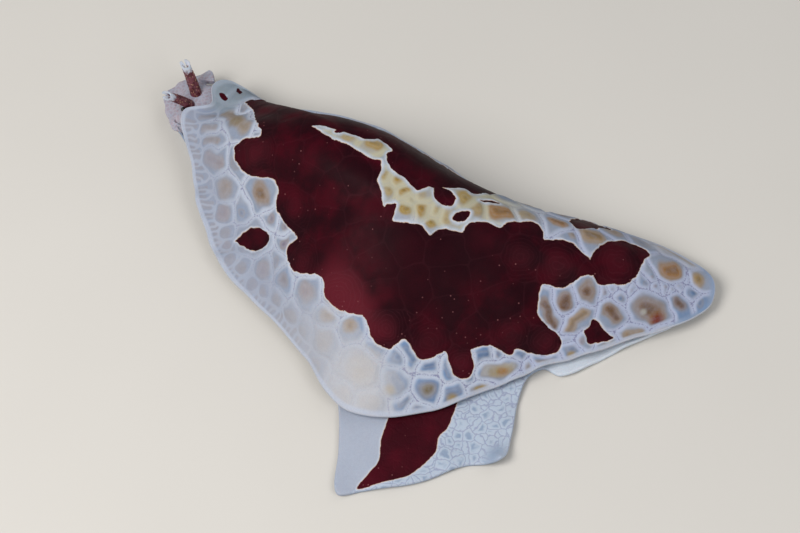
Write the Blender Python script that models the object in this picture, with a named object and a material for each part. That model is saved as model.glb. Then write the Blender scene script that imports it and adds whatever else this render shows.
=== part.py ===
"""A sidegill sea slug at life size, crawling in a slight right turn with the left side of its foot spread out.

The head points to -Y, the tail to +Y, and the animal's left side is at +X. Sizes are millimetres until a mesh is made.
"""

import math
import random

import bmesh
import bpy
import numpy as np

MM = 0.001
GAP = 0.3
ORIGIN = (58.6, 100.15)

# Margin of the mantle from the front notch round by the left side: x, y and height of its edge
MANTLE_MARGIN = (
    (3.6, 9.5, 14.0),
    (9.0, 1.3, 13.3),
    (14.6, 2.2, 12.6),
    (20.5, 6.2, 11.3),
    (29.0, 12.8, 9.4),
    (39.0, 19.0, 7.5),
    (53.0, 30.0, 5.5),
    (66.0, 44.5, 5.0),
    (76.0, 64.5, 5.0),
    (87.0, 85.0, 5.0),
    (97.5, 98.0, 5.0),
    (101.5, 108.0, 5.0),
    (99.0, 121.0, 5.0),
    (91.0, 133.3, 5.0),
    (74.4, 150.5, 5.0),
    (56.0, 168.0, 5.0),
    (36.0, 190.5, 5.0),
    (20.0, 207.5, 5.0),
    (11.5, 211.5, 5.0),
    (4.0, 210.0, 5.5),
    (-0.6, 203.0, 6.0),
    (-3.6, 188.0, 6.0),
    (-3.6, 168.0, 7.0),
    (-0.4, 150.0, 7.0),
    (1.4, 134.0, 8.0),
    (0.4, 118.4, 10.5),
    (-4.7, 99.0, 12.0),
    (-8.4, 84.0, 12.5),
    (-10.0, 68.0, 13.0),
    (-8.0, 48.0, 13.5),
    (-3.8, 31.0, 14.0),
    (-7.0, 19.0, 14.0),
    (-8.0, 11.0, 14.0),
    (-4.2, 6.6, 14.0),
)
MANTLE_CENTRE = (36.0, 104.0)
MANTLE_HALF = (58.0, 108.0)
MANTLE_GRID = (30, 52)
MANTLE_LIP = 0.9
MANTLE_SPREAD = 3.5
SMOOTH_HARMONICS = 3

# The hump: its highest point in the unit disk, its height and how it falls to the margin
PEAK = (-0.22, -0.16)
HUMP_HEIGHT = 51.0
SKIRT_HEIGHT = 7.0
CROWN = 2.1
FALL = 1.2
FRONT_FALL = 0.8
HOLLOW = (6.0, 136.0)
HOLLOW_RADIUS = 26.0
HOLLOW_DEPTH = 7.0

# Tubercles: low domes spread over the mantle, larger towards the margin and the tail
TUBERCLE_SEED = 7
TUBERCLE_TRIES = 900
TUBERCLE_RADII = (5.0, 7.5)
TUBERCLE_RISE = 1.1

# The column between mantle and foot
COLUMN_RING = 0.60
COLUMN_FRONT = 0.16
COLUMN_TOP = 14.0
COLUMN_BASE = 5.7
NECK_Y = 26.0

# Margin of the foot from the front round by the left side, with the flap spread out there
FOOT_MARGIN = (
    (2.5, -9.0),
    (8.5, -6.0),
    (13.0, 0.0),
    (21.0, 8.8),
    (33.0, 18.5),
    (49.0, 31.5),
    (61.0, 46.0),
    (70.0, 64.0),
    (80.0, 83.0),
    (90.0, 97.0),
    (101.0, 104.0),
    (115.0, 110.0),
    (131.0, 116.0),
    (127.0, 123.0),
    (116.5, 140.0),
    (104.0, 153.0),
    (98.5, 164.0),
    (88.0, 163.5),
    (73.5, 160.5),
    (63.0, 160.5),
    (57.5, 164.5),
    (58.0, 171.5),
    (49.0, 180.0),
    (39.5, 187.5),
    (31.0, 195.0),
    (21.0, 203.5),
    (12.0, 207.5),
    (5.0, 206.0),
    (0.5, 198.0),
    (-1.5, 184.0),
    (-0.5, 165.0),
    (3.5, 148.0),
    (4.5, 130.0),
    (2.0, 112.0),
    (-2.5, 96.0),
    (-5.5, 78.0),
    (-5.5, 58.0),
    (-2.5, 38.0),
    (-4.0, 20.0),
    (-7.5, 8.0),
    (-7.0, -2.0),
    (-2.5, -8.0),
)
# Degrees round the column that face a numbered point of the foot's margin
FOOT_SPOKES = (
    (-113, 0),
    (-92, 2),
    (-62, 4.5),
    (-36, 6.6),
    (-18, 8.3),
    (-7, 9.4),
    (6, 12),
    (13, 13),
    (36, 16),
    (52, 18.3),
    (60, 20),
    (66, 21.2),
    (84, 23.2),
    (104, 25.6),
    (114, 27.5),
    (128, 30),
    (150, 32),
    (200, 35.6),
    (232, 39),
)
FOOT_EDGE = 2.0
FOOT_ROUNDING = 0.4
FOOT_SAG = 2.6
FOOT_POINTS = 150
TAIL_Y = 172.0

# Head, mouth and oral veil
HEAD_X = 3.2
HEAD_FRONT = -2.5
HEAD_TOP = 11.5
VEIL_LENGTH = 9.0
VEIL_ROOT_HALF = 13.0
VEIL_EDGE_HALF = 16.0
VEIL_SKEW = 1.6
VEIL_CORNER = 0.8
VEIL_WRAP = 6.0
VEIL_SWEEP = 12.0
VEIL_ROUNDING = 1.6
VEIL_CURL = 2.6
VEIL_ROOT_HEIGHT = 9.2
VEIL_EDGE_HEIGHT = 7.2
VEIL_THICKNESS = 2.6
VEIL_EDGE_THICKNESS = 1.3
MOUTH_HALF = (4.6, 1.15)
MOUTH_LIP = 1.1
MOUTH_HEIGHT = 5.2
MOUTH_STEPS = (24, 8)

# Rhinophores: rolled feelers with a slit down the outer side
RHINOPHORE_LENGTH = 12.5
RHINOPHORE_RADII = (2.3, 1.7)
RHINOPHORE_WALL = 0.9
RHINOPHORE_SPACING = 2.9
RHINOPHORE_BASE = (2.6, 0.8)
RHINOPHORE_SPLAY = 0.42
RHINOPHORE_SLIT = math.radians(50)
EYE_RADIUS = 0.9
EYE_OFFSET = (6.0, -0.4)

# Gill: a plume with two rows of leaflets between mantle and foot on the right side
GILL_START = 62.0
GILL_END = 128.0
GILL_OFFSET = (2.6, 6.5)
GILL_HEIGHTS = (8.1, 6.0)
GILL_RADII = (1.7, 0.8)
GILL_LEAFLETS = 22
LEAFLET_LENGTH = 6.0
LEAFLET_DEPTH = 2.3
LEAFLET_THICKNESS = 1.0
LEAFLET_SWEEP = 1.8


def clear_scene():
    for item in list(bpy.data.objects):
        bpy.data.objects.remove(item)


def material(name, colour, roughness):
    """A wet flesh finish in one colour."""
    made = bpy.data.materials.new(name)
    made.use_nodes = True
    shader = made.node_tree.nodes["Principled BSDF"]
    shader.inputs["Base Color"].default_value = (*colour, 1.0)
    shader.inputs["Roughness"].default_value = roughness
    shader.inputs["Metallic"].default_value = 0.0
    return made


def make_object(name, points, faces, finish):
    """One closed mesh in metres, with flat ends and sharp folds kept."""
    shifted = np.asarray(points, float) - (ORIGIN[0], ORIGIN[1], 0.0)
    mesh = bpy.data.meshes.new(name)
    mesh.from_pydata((shifted * MM).tolist(), [], [list(face) for face in faces])
    mesh.validate()
    tidy_faces(mesh)
    mesh.shade_smooth()
    mesh.set_sharp_from_angle(angle=math.radians(50))
    mesh.materials.append(finish)
    item = bpy.data.objects.new(name, mesh)
    bpy.context.scene.collection.objects.link(item)
    return item


def tidy_faces(mesh):
    """Turns every face outwards."""
    work = bmesh.new()
    work.from_mesh(mesh)
    bmesh.ops.recalc_face_normals(work, faces=work.faces)
    work.to_mesh(mesh)
    work.free()


def keep_side(item, point, normal):
    """Cuts an object by a plane, keeps the side behind the normal and closes the cut."""
    work = bmesh.new()
    work.from_mesh(item.data)
    place = (
        (point[0] - ORIGIN[0]) * MM,
        (point[1] - ORIGIN[1]) * MM,
        point[2] * MM,
    )
    everything = work.verts[:] + work.edges[:] + work.faces[:]
    bmesh.ops.bisect_plane(
        work, geom=everything, plane_co=place, plane_no=normal, clear_outer=True
    )
    rim = [edge for edge in work.edges if edge.is_boundary]
    bmesh.ops.holes_fill(work, edges=rim, sides=0)
    bmesh.ops.recalc_face_normals(work, faces=work.faces)
    work.to_mesh(item.data)
    work.free()


def closed_curve(stations, values, at):
    """A smooth closed curve of period 2 pi through values at rising stations."""
    turn = 2 * math.pi
    knots = np.concatenate([stations - turn, stations, stations + turn])
    heights = np.concatenate([values, values, values])
    slopes = np.zeros_like(heights)
    slopes[1:-1] = (heights[2:] - heights[:-2]) / (knots[2:] - knots[:-2])
    at = np.mod(np.asarray(at, float) + math.pi, turn) - math.pi
    index = np.clip(np.searchsorted(knots, at) - 1, 0, len(knots) - 2)
    span = knots[index + 1] - knots[index]
    t = (at - knots[index]) / span
    start = (2 * t**3 - 3 * t**2 + 1) * heights[index]
    start_slope = (t**3 - 2 * t**2 + t) * span * slopes[index]
    end = (3 * t**2 - 2 * t**3) * heights[index + 1]
    end_slope = (t**3 - t**2) * span * slopes[index + 1]
    return start + start_slope + end + end_slope


class Mantle:
    """The shape of the mantle, over a unit disk whose rim is the margin."""

    def __init__(self):
        margin = np.array(MANTLE_MARGIN)
        spokes = (margin[:, :2] - MANTLE_CENTRE) / MANTLE_HALF
        angles = np.arctan2(spokes[:, 1], spokes[:, 0])
        order = np.argsort(angles)
        self.angles = angles[order]
        self.radii = np.hypot(spokes[:, 0], spokes[:, 1])[order]
        self.heights = margin[order, 2]
        samples = np.arange(720) * math.pi / 360
        self.harmonics = np.fft.rfft(self.radius(samples)) / len(samples)

    def radius(self, angle):
        return closed_curve(self.angles, self.radii, angle)

    def edge_height(self, angle):
        return closed_curve(self.angles, self.heights, angle)

    def smooth_radius(self, angle):
        """The margin without its notch and lobes."""
        total = np.full_like(angle, self.harmonics[0].real)
        for k in range(1, SMOOTH_HARMONICS + 1):
            wave = self.harmonics[k].real * np.cos(k * angle) - self.harmonics[k].imag * np.sin(k * angle)
            total = total + 2 * wave
        return total

    def plan(self, p, q):
        """Where a point of the disk lies, seen from above."""
        rho = np.hypot(p, q)
        angle = np.arctan2(q, p)
        share = rho**MANTLE_SPREAD
        reach = rho * (share * self.radius(angle) + (1 - share) * self.smooth_radius(angle))
        x = MANTLE_CENTRE[0] + MANTLE_HALF[0] * reach * np.cos(angle)
        y = MANTLE_CENTRE[1] + MANTLE_HALF[1] * reach * np.sin(angle)
        return x, y

    def top(self, p, q):
        """The upper side without its tubercles."""
        rho = np.hypot(p, q)
        x, y = self.plan(p, q)
        east, north = p - PEAK[0], q - PEAK[1]
        off_centre = PEAK[0] ** 2 + PEAK[1] ** 2
        along = east * PEAK[0] + north * PEAK[1]
        ring = along + np.sqrt(along**2 + (1 - off_centre) * (east**2 + north**2))
        ring = np.clip(ring / (1 - off_centre), 0, 1)
        fall = FALL + FRONT_FALL * np.clip(PEAK[1] - q, 0, 1) ** 1.2
        edge = self.edge_height(np.arctan2(q, p)) + MANTLE_LIP
        base = SKIRT_HEIGHT + (edge - SKIRT_HEIGHT) * rho**4
        z = base + (HUMP_HEIGHT - SKIRT_HEIGHT) * (1 - ring**CROWN) ** fall
        away = np.hypot(x - HOLLOW[0], y - HOLLOW[1]) / HOLLOW_RADIUS
        z = z - HOLLOW_DEPTH * np.exp(-(away**2)) * np.clip((1 - rho) * 4, 0, 1)
        return x, y, z


def disk_point(a, b):
    """A point of a square moved into the unit disk."""
    return a * np.sqrt(1 - b * b / 2), b * np.sqrt(1 - a * a / 2)


def grid_cap(columns, rows):
    """A square grid over the unit disk: its points, its faces and its rim as a loop."""
    points = []
    for j in range(rows + 1):
        for i in range(columns + 1):
            points.append(disk_point(2 * i / columns - 1, 2 * j / rows - 1))
    faces = []
    for j in range(rows):
        for i in range(columns):
            corner = j * (columns + 1) + i
            faces.append((corner, corner + 1, corner + columns + 2, corner + columns + 1))
    rim = list(range(columns + 1))
    rim += [j * (columns + 1) + columns for j in range(1, rows + 1)]
    rim += [rows * (columns + 1) + i for i in range(columns - 1, -1, -1)]
    rim += [j * (columns + 1) for j in range(rows - 1, 0, -1)]
    return np.array(points), faces, rim


def band(first, second):
    """Quads between two loops of the same length."""
    count = len(first)
    return [
        (first[i], first[(i + 1) % count], second[(i + 1) % count], second[i])
        for i in range(count)
    ]


def loft(rings):
    """A closed body through rings of the same length, with both ends filled."""
    count = len(rings[0])
    points = np.concatenate([np.asarray(ring, float) for ring in rings])
    loops = [list(range(k * count, (k + 1) * count)) for k in range(len(rings))]
    faces = [tuple(reversed(loops[0])), tuple(loops[-1])]
    for first, second in zip(loops, loops[1:]):
        faces += band(first, second)
    return points, faces


def tubercle_centres(mantle):
    """Evenly scattered centres with their radii, seeded."""
    draw = random.Random(TUBERCLE_SEED)
    placed = []
    for _ in range(TUBERCLE_TRIES):
        rho = math.sqrt(draw.random()) * 0.95
        angle = draw.uniform(-math.pi, math.pi)
        p, q = rho * math.cos(angle), rho * math.sin(angle)
        x, y, _ = (float(value) for value in mantle.top(np.array(p), np.array(q)))
        small, large = TUBERCLE_RADII
        radius = small + (large - small) * rho * draw.uniform(0.6, 1.0)
        clear = all(math.hypot(x - u, y - v) > 0.86 * (radius + r) for u, v, r in placed)
        if clear:
            placed.append((x, y, radius))
    return placed


def relief(centres, x, y):
    """How far the tubercles raise the surface at points of the plan."""
    raised = np.zeros_like(x)
    for u, v, radius in centres:
        away = np.hypot(x - u, y - v) / radius
        raised = np.maximum(raised, TUBERCLE_RISE * np.clip(1 - away**2, 0, 1))
    return raised


def column_ring(mantle, angle, scale=1.0):
    """Plan of the column under the mantle, reaching forwards to the neck."""
    front = np.clip(-np.sin(angle), 0, 1) ** 4
    rho = (COLUMN_RING + COLUMN_FRONT * front) * scale
    return mantle.plan(rho * np.cos(angle), rho * np.sin(angle))


def make_mantle(mantle, finish):
    disk, faces, rim = grid_cap(*MANTLE_GRID)
    p, q = disk[:, 0], disk[:, 1]
    x, y, z = mantle.top(p, q)
    inside = np.clip((1 - np.hypot(p, q)) * 12, 0, 1)
    z = z + relief(tubercle_centres(mantle), x, y) * inside
    points = [np.stack([x, y, z], -1)]
    angle = np.arctan2(q[rim], p[rim])
    edge = mantle.edge_height(angle)
    out = np.stack([np.cos(angle), np.sin(angle)], -1)
    edge_x, edge_y = x[rim], y[rim]
    root_x, root_y = column_ring(mantle, angle)
    points.append(np.stack([edge_x + 0.5 * out[:, 0], edge_y + 0.5 * out[:, 1], edge], -1))
    under = edge - MANTLE_LIP
    points.append(np.stack([edge_x, edge_y, under], -1))
    top = COLUMN_TOP + GAP / 2
    for share in (0.2, 0.45, 0.72, 1.0):
        ring_x = edge_x + (root_x - edge_x) * share
        ring_y = edge_y + (root_y - edge_y) * share
        ring_z = under + (top - under) * share**1.3
        points.append(np.stack([ring_x, ring_y, ring_z], -1))
    loop = list(rim)
    start = len(disk)
    for _ in points[1:]:
        following = list(range(start, start + len(rim)))
        faces += band(following, loop)
        loop = following
        start += len(rim)
    faces.append(tuple(loop))
    return make_object("mantle", np.concatenate(points), faces, finish)


def make_body(mantle, finish):
    angle = np.linspace(-math.pi, math.pi, 80, endpoint=False)
    levels = (
        (COLUMN_BASE + GAP / 2, 1.02),
        (8.5, 0.97),
        (12.5, 0.96),
        (COLUMN_TOP - GAP / 2, 1.0),
    )
    rings = []
    for z, scale in levels:
        x, y = column_ring(mantle, angle, scale)
        rings.append(np.stack([x, y, np.full_like(x, z)], -1))
    body = make_object("body", *loft(rings), finish)
    keep_side(body, (0, NECK_Y, 0), (0, -1, 0))
    return body


def foot_margin():
    """Evenly spaced points of the foot's margin and the direction of the column that each one faces."""
    corners = np.array(FOOT_MARGIN)
    steps = np.hypot(*(np.roll(corners, -1, axis=0) - corners).T)
    stations = np.concatenate([[0], np.cumsum(steps)]) / steps.sum() * 2 * math.pi - math.pi
    at = np.linspace(-math.pi, math.pi, FOOT_POINTS, endpoint=False)
    x = closed_curve(stations[:-1], corners[:, 0], at)
    y = closed_curve(stations[:-1], corners[:, 1], at)
    knots = np.interp(at, stations, np.arange(len(corners) + 1))
    spokes = np.array(FOOT_SPOKES, float)
    directions = np.append(spokes[:, 0], spokes[0, 0] + 360)
    angle = np.radians(np.interp(knots, np.append(spokes[:, 1], len(corners)), directions))
    return x, y, angle


def make_foot(mantle, finish):
    edge_x, edge_y, angle = foot_margin()
    root_x, root_y = column_ring(mantle, angle, 1.02)
    top = COLUMN_BASE - GAP / 2
    outward = np.stack([np.roll(edge_y, -1) - np.roll(edge_y, 1), np.roll(edge_x, 1) - np.roll(edge_x, -1)], -1)
    outward /= np.hypot(outward[:, 0], outward[:, 1])[:, None]
    rings = []
    for bulge, height in ((-FOOT_ROUNDING, 0.0), (FOOT_ROUNDING, FOOT_EDGE / 2)):
        ring = np.stack([edge_x, edge_y], -1) + bulge * outward
        rings.append(np.column_stack([ring, np.full(FOOT_POINTS, height)]))
    for share in (1.0, 0.75, 0.5, 0.25, 0.0):
        ring_x = root_x + (edge_x - root_x) * share
        ring_y = root_y + (edge_y - root_y) * share
        ring_z = np.full(FOOT_POINTS, FOOT_EDGE + (top - FOOT_EDGE) * (1 - share) ** FOOT_SAG)
        rings.append(np.stack([ring_x, ring_y, ring_z], -1))
    points, faces = loft(rings)
    foot = make_object("foot", points, faces, finish)
    tail = make_object("tail", points, faces, finish)
    keep_side(foot, (0, TAIL_Y - GAP / 2, 0), (0, 1, 0))
    keep_side(tail, (0, TAIL_Y + GAP / 2, 0), (0, -1, 0))
    return foot, tail


def rounded_ring(centre, half, power, count, axis_y):
    """A superellipse standing across the Y axis."""
    turn = np.linspace(0, 2 * math.pi, count, endpoint=False)
    across = np.sign(np.cos(turn)) * np.abs(np.cos(turn)) ** (2 / power)
    upward = np.sign(np.sin(turn)) * np.abs(np.sin(turn)) ** (2 / power)
    x = centre[0] + half[0] * across
    z = centre[1] + half[1] * upward
    return np.stack([x, np.full(count, axis_y), z], -1)


def make_head(finish):
    """A low snout from the neck to the root of the veil."""
    sections = (
        (NECK_Y - GAP, 10.6, 6.1, 12.4),
        (18.0, 10.2, 5.9, 12.2),
        (12.0, 10.0, 5.0, 11.6),
        (6.0, 10.4, 4.0, HEAD_TOP),
        (0.0, 10.4, 3.8, HEAD_TOP),
        (HEAD_FRONT, 10.2, 3.9, HEAD_TOP),
    )
    rings = []
    for y, half, low, high in sections:
        rings.append(rounded_ring((HEAD_X, (low + high) / 2), (half, (high - low) / 2), 3.2, 28, y))
    return make_object("head", *loft(rings), finish)


def make_veil(finish):
    """A thin shelf over the mouth, its corners swept back round the head and rolled."""
    across, along = 20, 7
    upper, lower = [], []
    for j in range(along + 1):
        v = j / along
        for i in range(across + 1):
            u = 2 * i / across - 1
            half = VEIL_ROOT_HALF + (VEIL_EDGE_HALF - VEIL_ROOT_HALF) * v**0.8
            x = HEAD_X - VEIL_SKEW * v + half * u
            root = VEIL_WRAP * max(0.0, abs(u) - VEIL_CORNER) / (1 - VEIL_CORNER)
            edge = VEIL_SWEEP * abs(u) ** VEIL_ROUNDING - VEIL_LENGTH
            y = HEAD_FRONT - GAP + root * (1 - v) + edge * v
            curl = VEIL_CURL * v * abs(u) ** 4
            middle = VEIL_ROOT_HEIGHT + (VEIL_EDGE_HEIGHT - VEIL_ROOT_HEIGHT) * v + curl
            thick = VEIL_THICKNESS + (VEIL_EDGE_THICKNESS - VEIL_THICKNESS) * v + 0.9 * v * abs(u) ** 6
            upper.append((x, y, middle + thick / 2))
            lower.append((x, y, middle - thick / 2))
    faces = []
    width = across + 1
    total = len(upper)
    for j in range(along):
        for i in range(across):
            a = j * width + i
            faces.append((a, a + width, a + width + 1, a + 1))
            faces.append((total + a, total + a + 1, total + a + width + 1, total + a + width))
    rim = list(range(width))
    rim += [j * width + across for j in range(1, along + 1)]
    rim += [along * width + i for i in range(across - 1, -1, -1)]
    rim += [j * width for j in range(along - 1, 0, -1)]
    faces += band(rim, [total + k for k in rim])
    return make_object("oral_veil", upper + lower, faces, finish)


def make_mouth(finish):
    """A ring of lip on the front of the head, under the veil."""
    around, across = MOUTH_STEPS
    points = []
    for k in range(around):
        turn = 2 * math.pi * k / around
        for m in range(across):
            roll = 2 * math.pi * m / across
            reach = MOUTH_LIP * math.cos(roll)
            x = HEAD_X + (MOUTH_HALF[0] + reach) * math.cos(turn)
            z = MOUTH_HEIGHT + (MOUTH_HALF[1] + reach * 0.8) * math.sin(turn)
            y = HEAD_FRONT - GAP - MOUTH_LIP * (1 + math.sin(roll))
            points.append((x, y, z))
    loops = [list(range(across * k, across * (k + 1))) for k in range(around)]
    faces = []
    for k in range(around):
        faces += band(loops[k], loops[(k + 1) % around])
    return make_object("mouth", points, faces, finish)


def rhinophore_rings(side):
    """Sections of a rolled feeler that leans forwards and outwards."""
    sides, stations = 9, 9
    rings = []
    base_x = RHINOPHORE_BASE[0] + side * RHINOPHORE_SPACING
    for k in range(stations + 1):
        t = k / stations
        height = HEAD_TOP + GAP + RHINOPHORE_LENGTH * 0.72 * t
        centre_x = base_x + side * RHINOPHORE_LENGTH * RHINOPHORE_SPLAY * t**1.3
        centre_y = RHINOPHORE_BASE[1] - RHINOPHORE_LENGTH * 0.5 * t**1.4
        radius = RHINOPHORE_RADII[0] + (RHINOPHORE_RADII[1] - RHINOPHORE_RADII[0]) * t
        facing = math.radians(-60) if side > 0 else math.radians(-120)
        outer, inner = [], []
        for m in range(sides + 1):
            turn = facing + RHINOPHORE_SLIT / 2 + (2 * math.pi - RHINOPHORE_SLIT) * m / sides
            lift = -0.25 * t * radius * math.sin(turn)
            outer.append((centre_x + radius * math.cos(turn), centre_y + radius * math.sin(turn), height + lift))
            thin = radius - RHINOPHORE_WALL
            inner.append((centre_x + thin * math.cos(turn), centre_y + thin * math.sin(turn), height + lift))
        rings.append(outer + inner[::-1])
    return rings


def make_rhinophore(name, side, finish):
    return make_object(name, *loft(rhinophore_rings(side)), finish)


def make_eye(name, side, finish):
    """A small dark bead set on top of the head beside a rhinophore."""
    x = RHINOPHORE_BASE[0] + side * EYE_OFFSET[0]
    rings = []
    for lift in (0.0, 0.35, 0.7, 0.92):
        radius = EYE_RADIUS * math.sqrt(1 - lift**2)
        turn = np.linspace(0, 2 * math.pi, 12, endpoint=False)
        z = np.full(12, HEAD_TOP + GAP + EYE_RADIUS * lift)
        rings.append(np.stack([x + radius * np.cos(turn), EYE_OFFSET[1] + radius * np.sin(turn), z], -1))
    return make_object(name, *loft(rings), finish)


def column_side(mantle, y):
    """Where the right side of the column stands at a distance along the body."""
    angle = np.linspace(math.pi * 0.5, math.pi * 1.5, 400)
    x, along = column_ring(mantle, angle, 1.02)
    return float(np.interp(y, along[::-1], x[::-1]))


def gill_axis(mantle, t):
    y = GILL_START + (GILL_END - GILL_START) * t
    offset = GILL_OFFSET[0] + (GILL_OFFSET[1] - GILL_OFFSET[0]) * t**1.5
    x = column_side(mantle, y) - offset
    z = GILL_HEIGHTS[0] + (GILL_HEIGHTS[1] - GILL_HEIGHTS[0]) * t
    return np.array([x, y, z])


def leaflet_rings(mantle, t, side):
    """A flat blade that tapers outwards from the rachis, above or below it."""
    root = gill_axis(mantle, t)
    size = 0.55 + 0.45 * math.sin(math.pi * min(1.0, 0.18 + t * 0.75))
    rings = []
    for share in (-0.06, 0.45, 0.8, 1.0):
        middle = root + np.array([-1.0, 0.0, side * 0.42]) * LEAFLET_LENGTH * size * share
        middle[1] += LEAFLET_SWEEP * share**2
        deep = LEAFLET_DEPTH * size * (1 - 0.62 * max(share, 0)) / 2
        thick = LEAFLET_THICKNESS * (1 - 0.45 * max(share, 0)) / 2
        rings.append(
            [
                middle + (0, -thick, -deep),
                middle + (0, thick, -deep),
                middle + (0, thick, deep),
                middle + (0, -thick, deep),
            ]
        )
    return rings


def largest_surface(item):
    """Keeps only the biggest closed surface of a mesh."""
    work = bmesh.new()
    work.from_mesh(item.data)
    left = set(work.faces)
    shells = []
    while left:
        shell, edge = set(), [next(iter(left))]
        while edge:
            face = edge.pop()
            if face in shell:
                continue
            shell.add(face)
            edge += [other for side in face.edges for other in side.link_faces if other not in shell]
        shells.append(shell)
        left -= shell
    keep = max(shells, key=lambda shell: sum(face.calc_area() for face in shell))
    drop = [face for face in work.faces if face not in keep]
    bmesh.ops.delete(work, geom=drop, context="FACES")
    work.to_mesh(item.data)
    work.free()


def fuse(item, pieces):
    """Joins closed pieces to an object and removes them."""
    group = bpy.data.collections.new(item.name + "_pieces")
    bpy.context.scene.collection.children.link(group)
    for piece in pieces:
        bpy.context.scene.collection.objects.unlink(piece)
        group.objects.link(piece)
    union = item.modifiers.new("union", "BOOLEAN")
    union.operation = "UNION"
    union.operand_type = "COLLECTION"
    union.collection = group
    union.solver = "EXACT"
    bpy.context.view_layer.update()
    evaluated = item.evaluated_get(bpy.context.evaluated_depsgraph_get())
    fused = bpy.data.meshes.new_from_object(evaluated)
    item.modifiers.clear()
    item.data = fused
    for piece in pieces:
        bpy.data.objects.remove(piece)
    bpy.data.collections.remove(group)
    largest_surface(item)


def make_gill(mantle, finish):
    turn = np.linspace(0, 2 * math.pi, 10, endpoint=False)
    rings = []
    for k in range(15):
        t = k / 14
        centre = gill_axis(mantle, t)
        radius = GILL_RADII[0] + (GILL_RADII[1] - GILL_RADII[0]) * t
        ring = np.stack([radius * np.cos(turn), np.zeros(10), radius * np.sin(turn)], -1)
        rings.append(centre + ring)
    gill = make_object("gill", *loft(rings), finish)
    leaflets = []
    for k in range(GILL_LEAFLETS):
        t = (k + 0.6) / (GILL_LEAFLETS + 0.4)
        for side in (-1, 1):
            name = f"leaflet_{k}_{side}"
            leaflets.append(make_object(name, *loft(leaflet_rings(mantle, t, side)), finish))
    fuse(gill, leaflets)
    return gill


def main():
    clear_scene()
    mantle = Mantle()
    maroon = material("maroon_skin", (0.05, 0.004, 0.010), 0.35)
    pale = material("pale_skin", (0.55, 0.60, 0.68), 0.35)
    gill_flesh = material("gill_flesh", (0.42, 0.30, 0.24), 0.35)
    dark = material("eye", (0.01, 0.01, 0.012), 0.15)
    make_mantle(mantle, maroon)
    make_body(mantle, pale)
    make_foot(mantle, pale)
    make_head(pale)
    make_veil(pale)
    make_mouth(pale)
    make_rhinophore("rhinophore_left", 1, maroon)
    make_rhinophore("rhinophore_right", -1, maroon)
    make_eye("eye_left", 1, dark)
    make_eye("eye_right", -1, dark)
    make_gill(mantle, gill_flesh)


main()
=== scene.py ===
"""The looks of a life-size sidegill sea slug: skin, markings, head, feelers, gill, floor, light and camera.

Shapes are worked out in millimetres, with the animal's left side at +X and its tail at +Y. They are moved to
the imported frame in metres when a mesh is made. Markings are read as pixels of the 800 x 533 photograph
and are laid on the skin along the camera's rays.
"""

import math
import random

import bpy
import numpy as np
from mathutils import Matrix, Vector, kdtree


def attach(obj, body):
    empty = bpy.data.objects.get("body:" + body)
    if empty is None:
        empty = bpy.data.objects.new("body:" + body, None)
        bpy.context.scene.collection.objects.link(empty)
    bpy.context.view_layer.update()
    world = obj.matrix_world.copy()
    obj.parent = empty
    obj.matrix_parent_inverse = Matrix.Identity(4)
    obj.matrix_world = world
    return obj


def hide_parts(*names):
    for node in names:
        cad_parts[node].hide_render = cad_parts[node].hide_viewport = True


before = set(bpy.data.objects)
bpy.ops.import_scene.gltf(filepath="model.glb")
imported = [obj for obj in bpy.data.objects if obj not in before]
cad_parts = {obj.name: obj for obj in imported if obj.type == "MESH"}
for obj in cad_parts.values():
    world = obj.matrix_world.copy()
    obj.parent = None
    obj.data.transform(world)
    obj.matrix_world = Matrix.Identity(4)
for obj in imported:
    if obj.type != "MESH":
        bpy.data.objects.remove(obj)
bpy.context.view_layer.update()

MM = 0.001
PER_METRE = 1000.0
ORIGIN = (58.6, 100.15)

# The photograph's frame and camera
FRAME_PX = (800, 533)
FOCAL_PX = 2250.0
AXIS_PX = (440.0, 250.0)
VIEW_TARGET = (24.13, 111.12, 0.0)
VIEW_DISTANCE = 832.5
VIEW_AZIMUTH = math.radians(112)
VIEW_ELEVATION = math.radians(57)
SENSOR_MM = 36.0
CLIP_RANGE = (0.01, 20.0)
MM_PER_PX = VIEW_DISTANCE / FOCAL_PX

# Margin of the mantle from the front notch round by the left side: x, y and height of its edge
MANTLE_MARGIN = (
    (3.6, 9.5, 14.0), (9.0, 1.3, 13.3), (14.6, 2.2, 12.6), (20.5, 6.2, 11.3), (29.0, 12.8, 9.4),
    (39.0, 19.0, 7.5), (53.0, 30.0, 5.5), (66.0, 44.5, 5.0), (76.0, 64.5, 5.0), (87.0, 85.0, 5.0),
    (97.5, 98.0, 5.0), (101.5, 108.0, 5.0), (99.0, 121.0, 5.0), (91.0, 133.3, 5.0), (74.4, 150.5, 5.0),
    (56.0, 168.0, 5.0), (36.0, 190.5, 5.0), (20.0, 207.5, 5.0), (11.5, 211.5, 5.0), (4.0, 210.0, 5.5),
    (-0.6, 203.0, 6.0), (-3.6, 188.0, 6.0), (-3.6, 168.0, 7.0), (-0.4, 150.0, 7.0), (1.4, 134.0, 8.0),
    (0.4, 118.4, 10.5), (-4.7, 99.0, 12.0), (-8.4, 84.0, 12.5), (-10.0, 68.0, 13.0), (-8.0, 48.0, 13.5),
    (-3.8, 31.0, 14.0), (-7.0, 19.0, 14.0), (-8.0, 11.0, 14.0), (-4.2, 6.6, 14.0),
)
MANTLE_CENTRE = (36.0, 104.0)
MANTLE_HALF = (58.0, 108.0)
MANTLE_LIP = 0.55
MANTLE_SPREAD = 3.5
SMOOTH_HARMONICS = 3
PEAK = (-0.22, -0.16)
HUMP_HEIGHT = 51.0
SKIRT_HEIGHT = 7.0
CROWN = 2.1
FALL = 1.2
FRONT_FALL = 0.8
FRONT_FALL_POWER = 1.2
HOLLOW = (6.0, 136.0)
HOLLOW_RADIUS = 26.0
HOLLOW_DEPTH = 7.0
HOLLOW_FADE = 4
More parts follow.
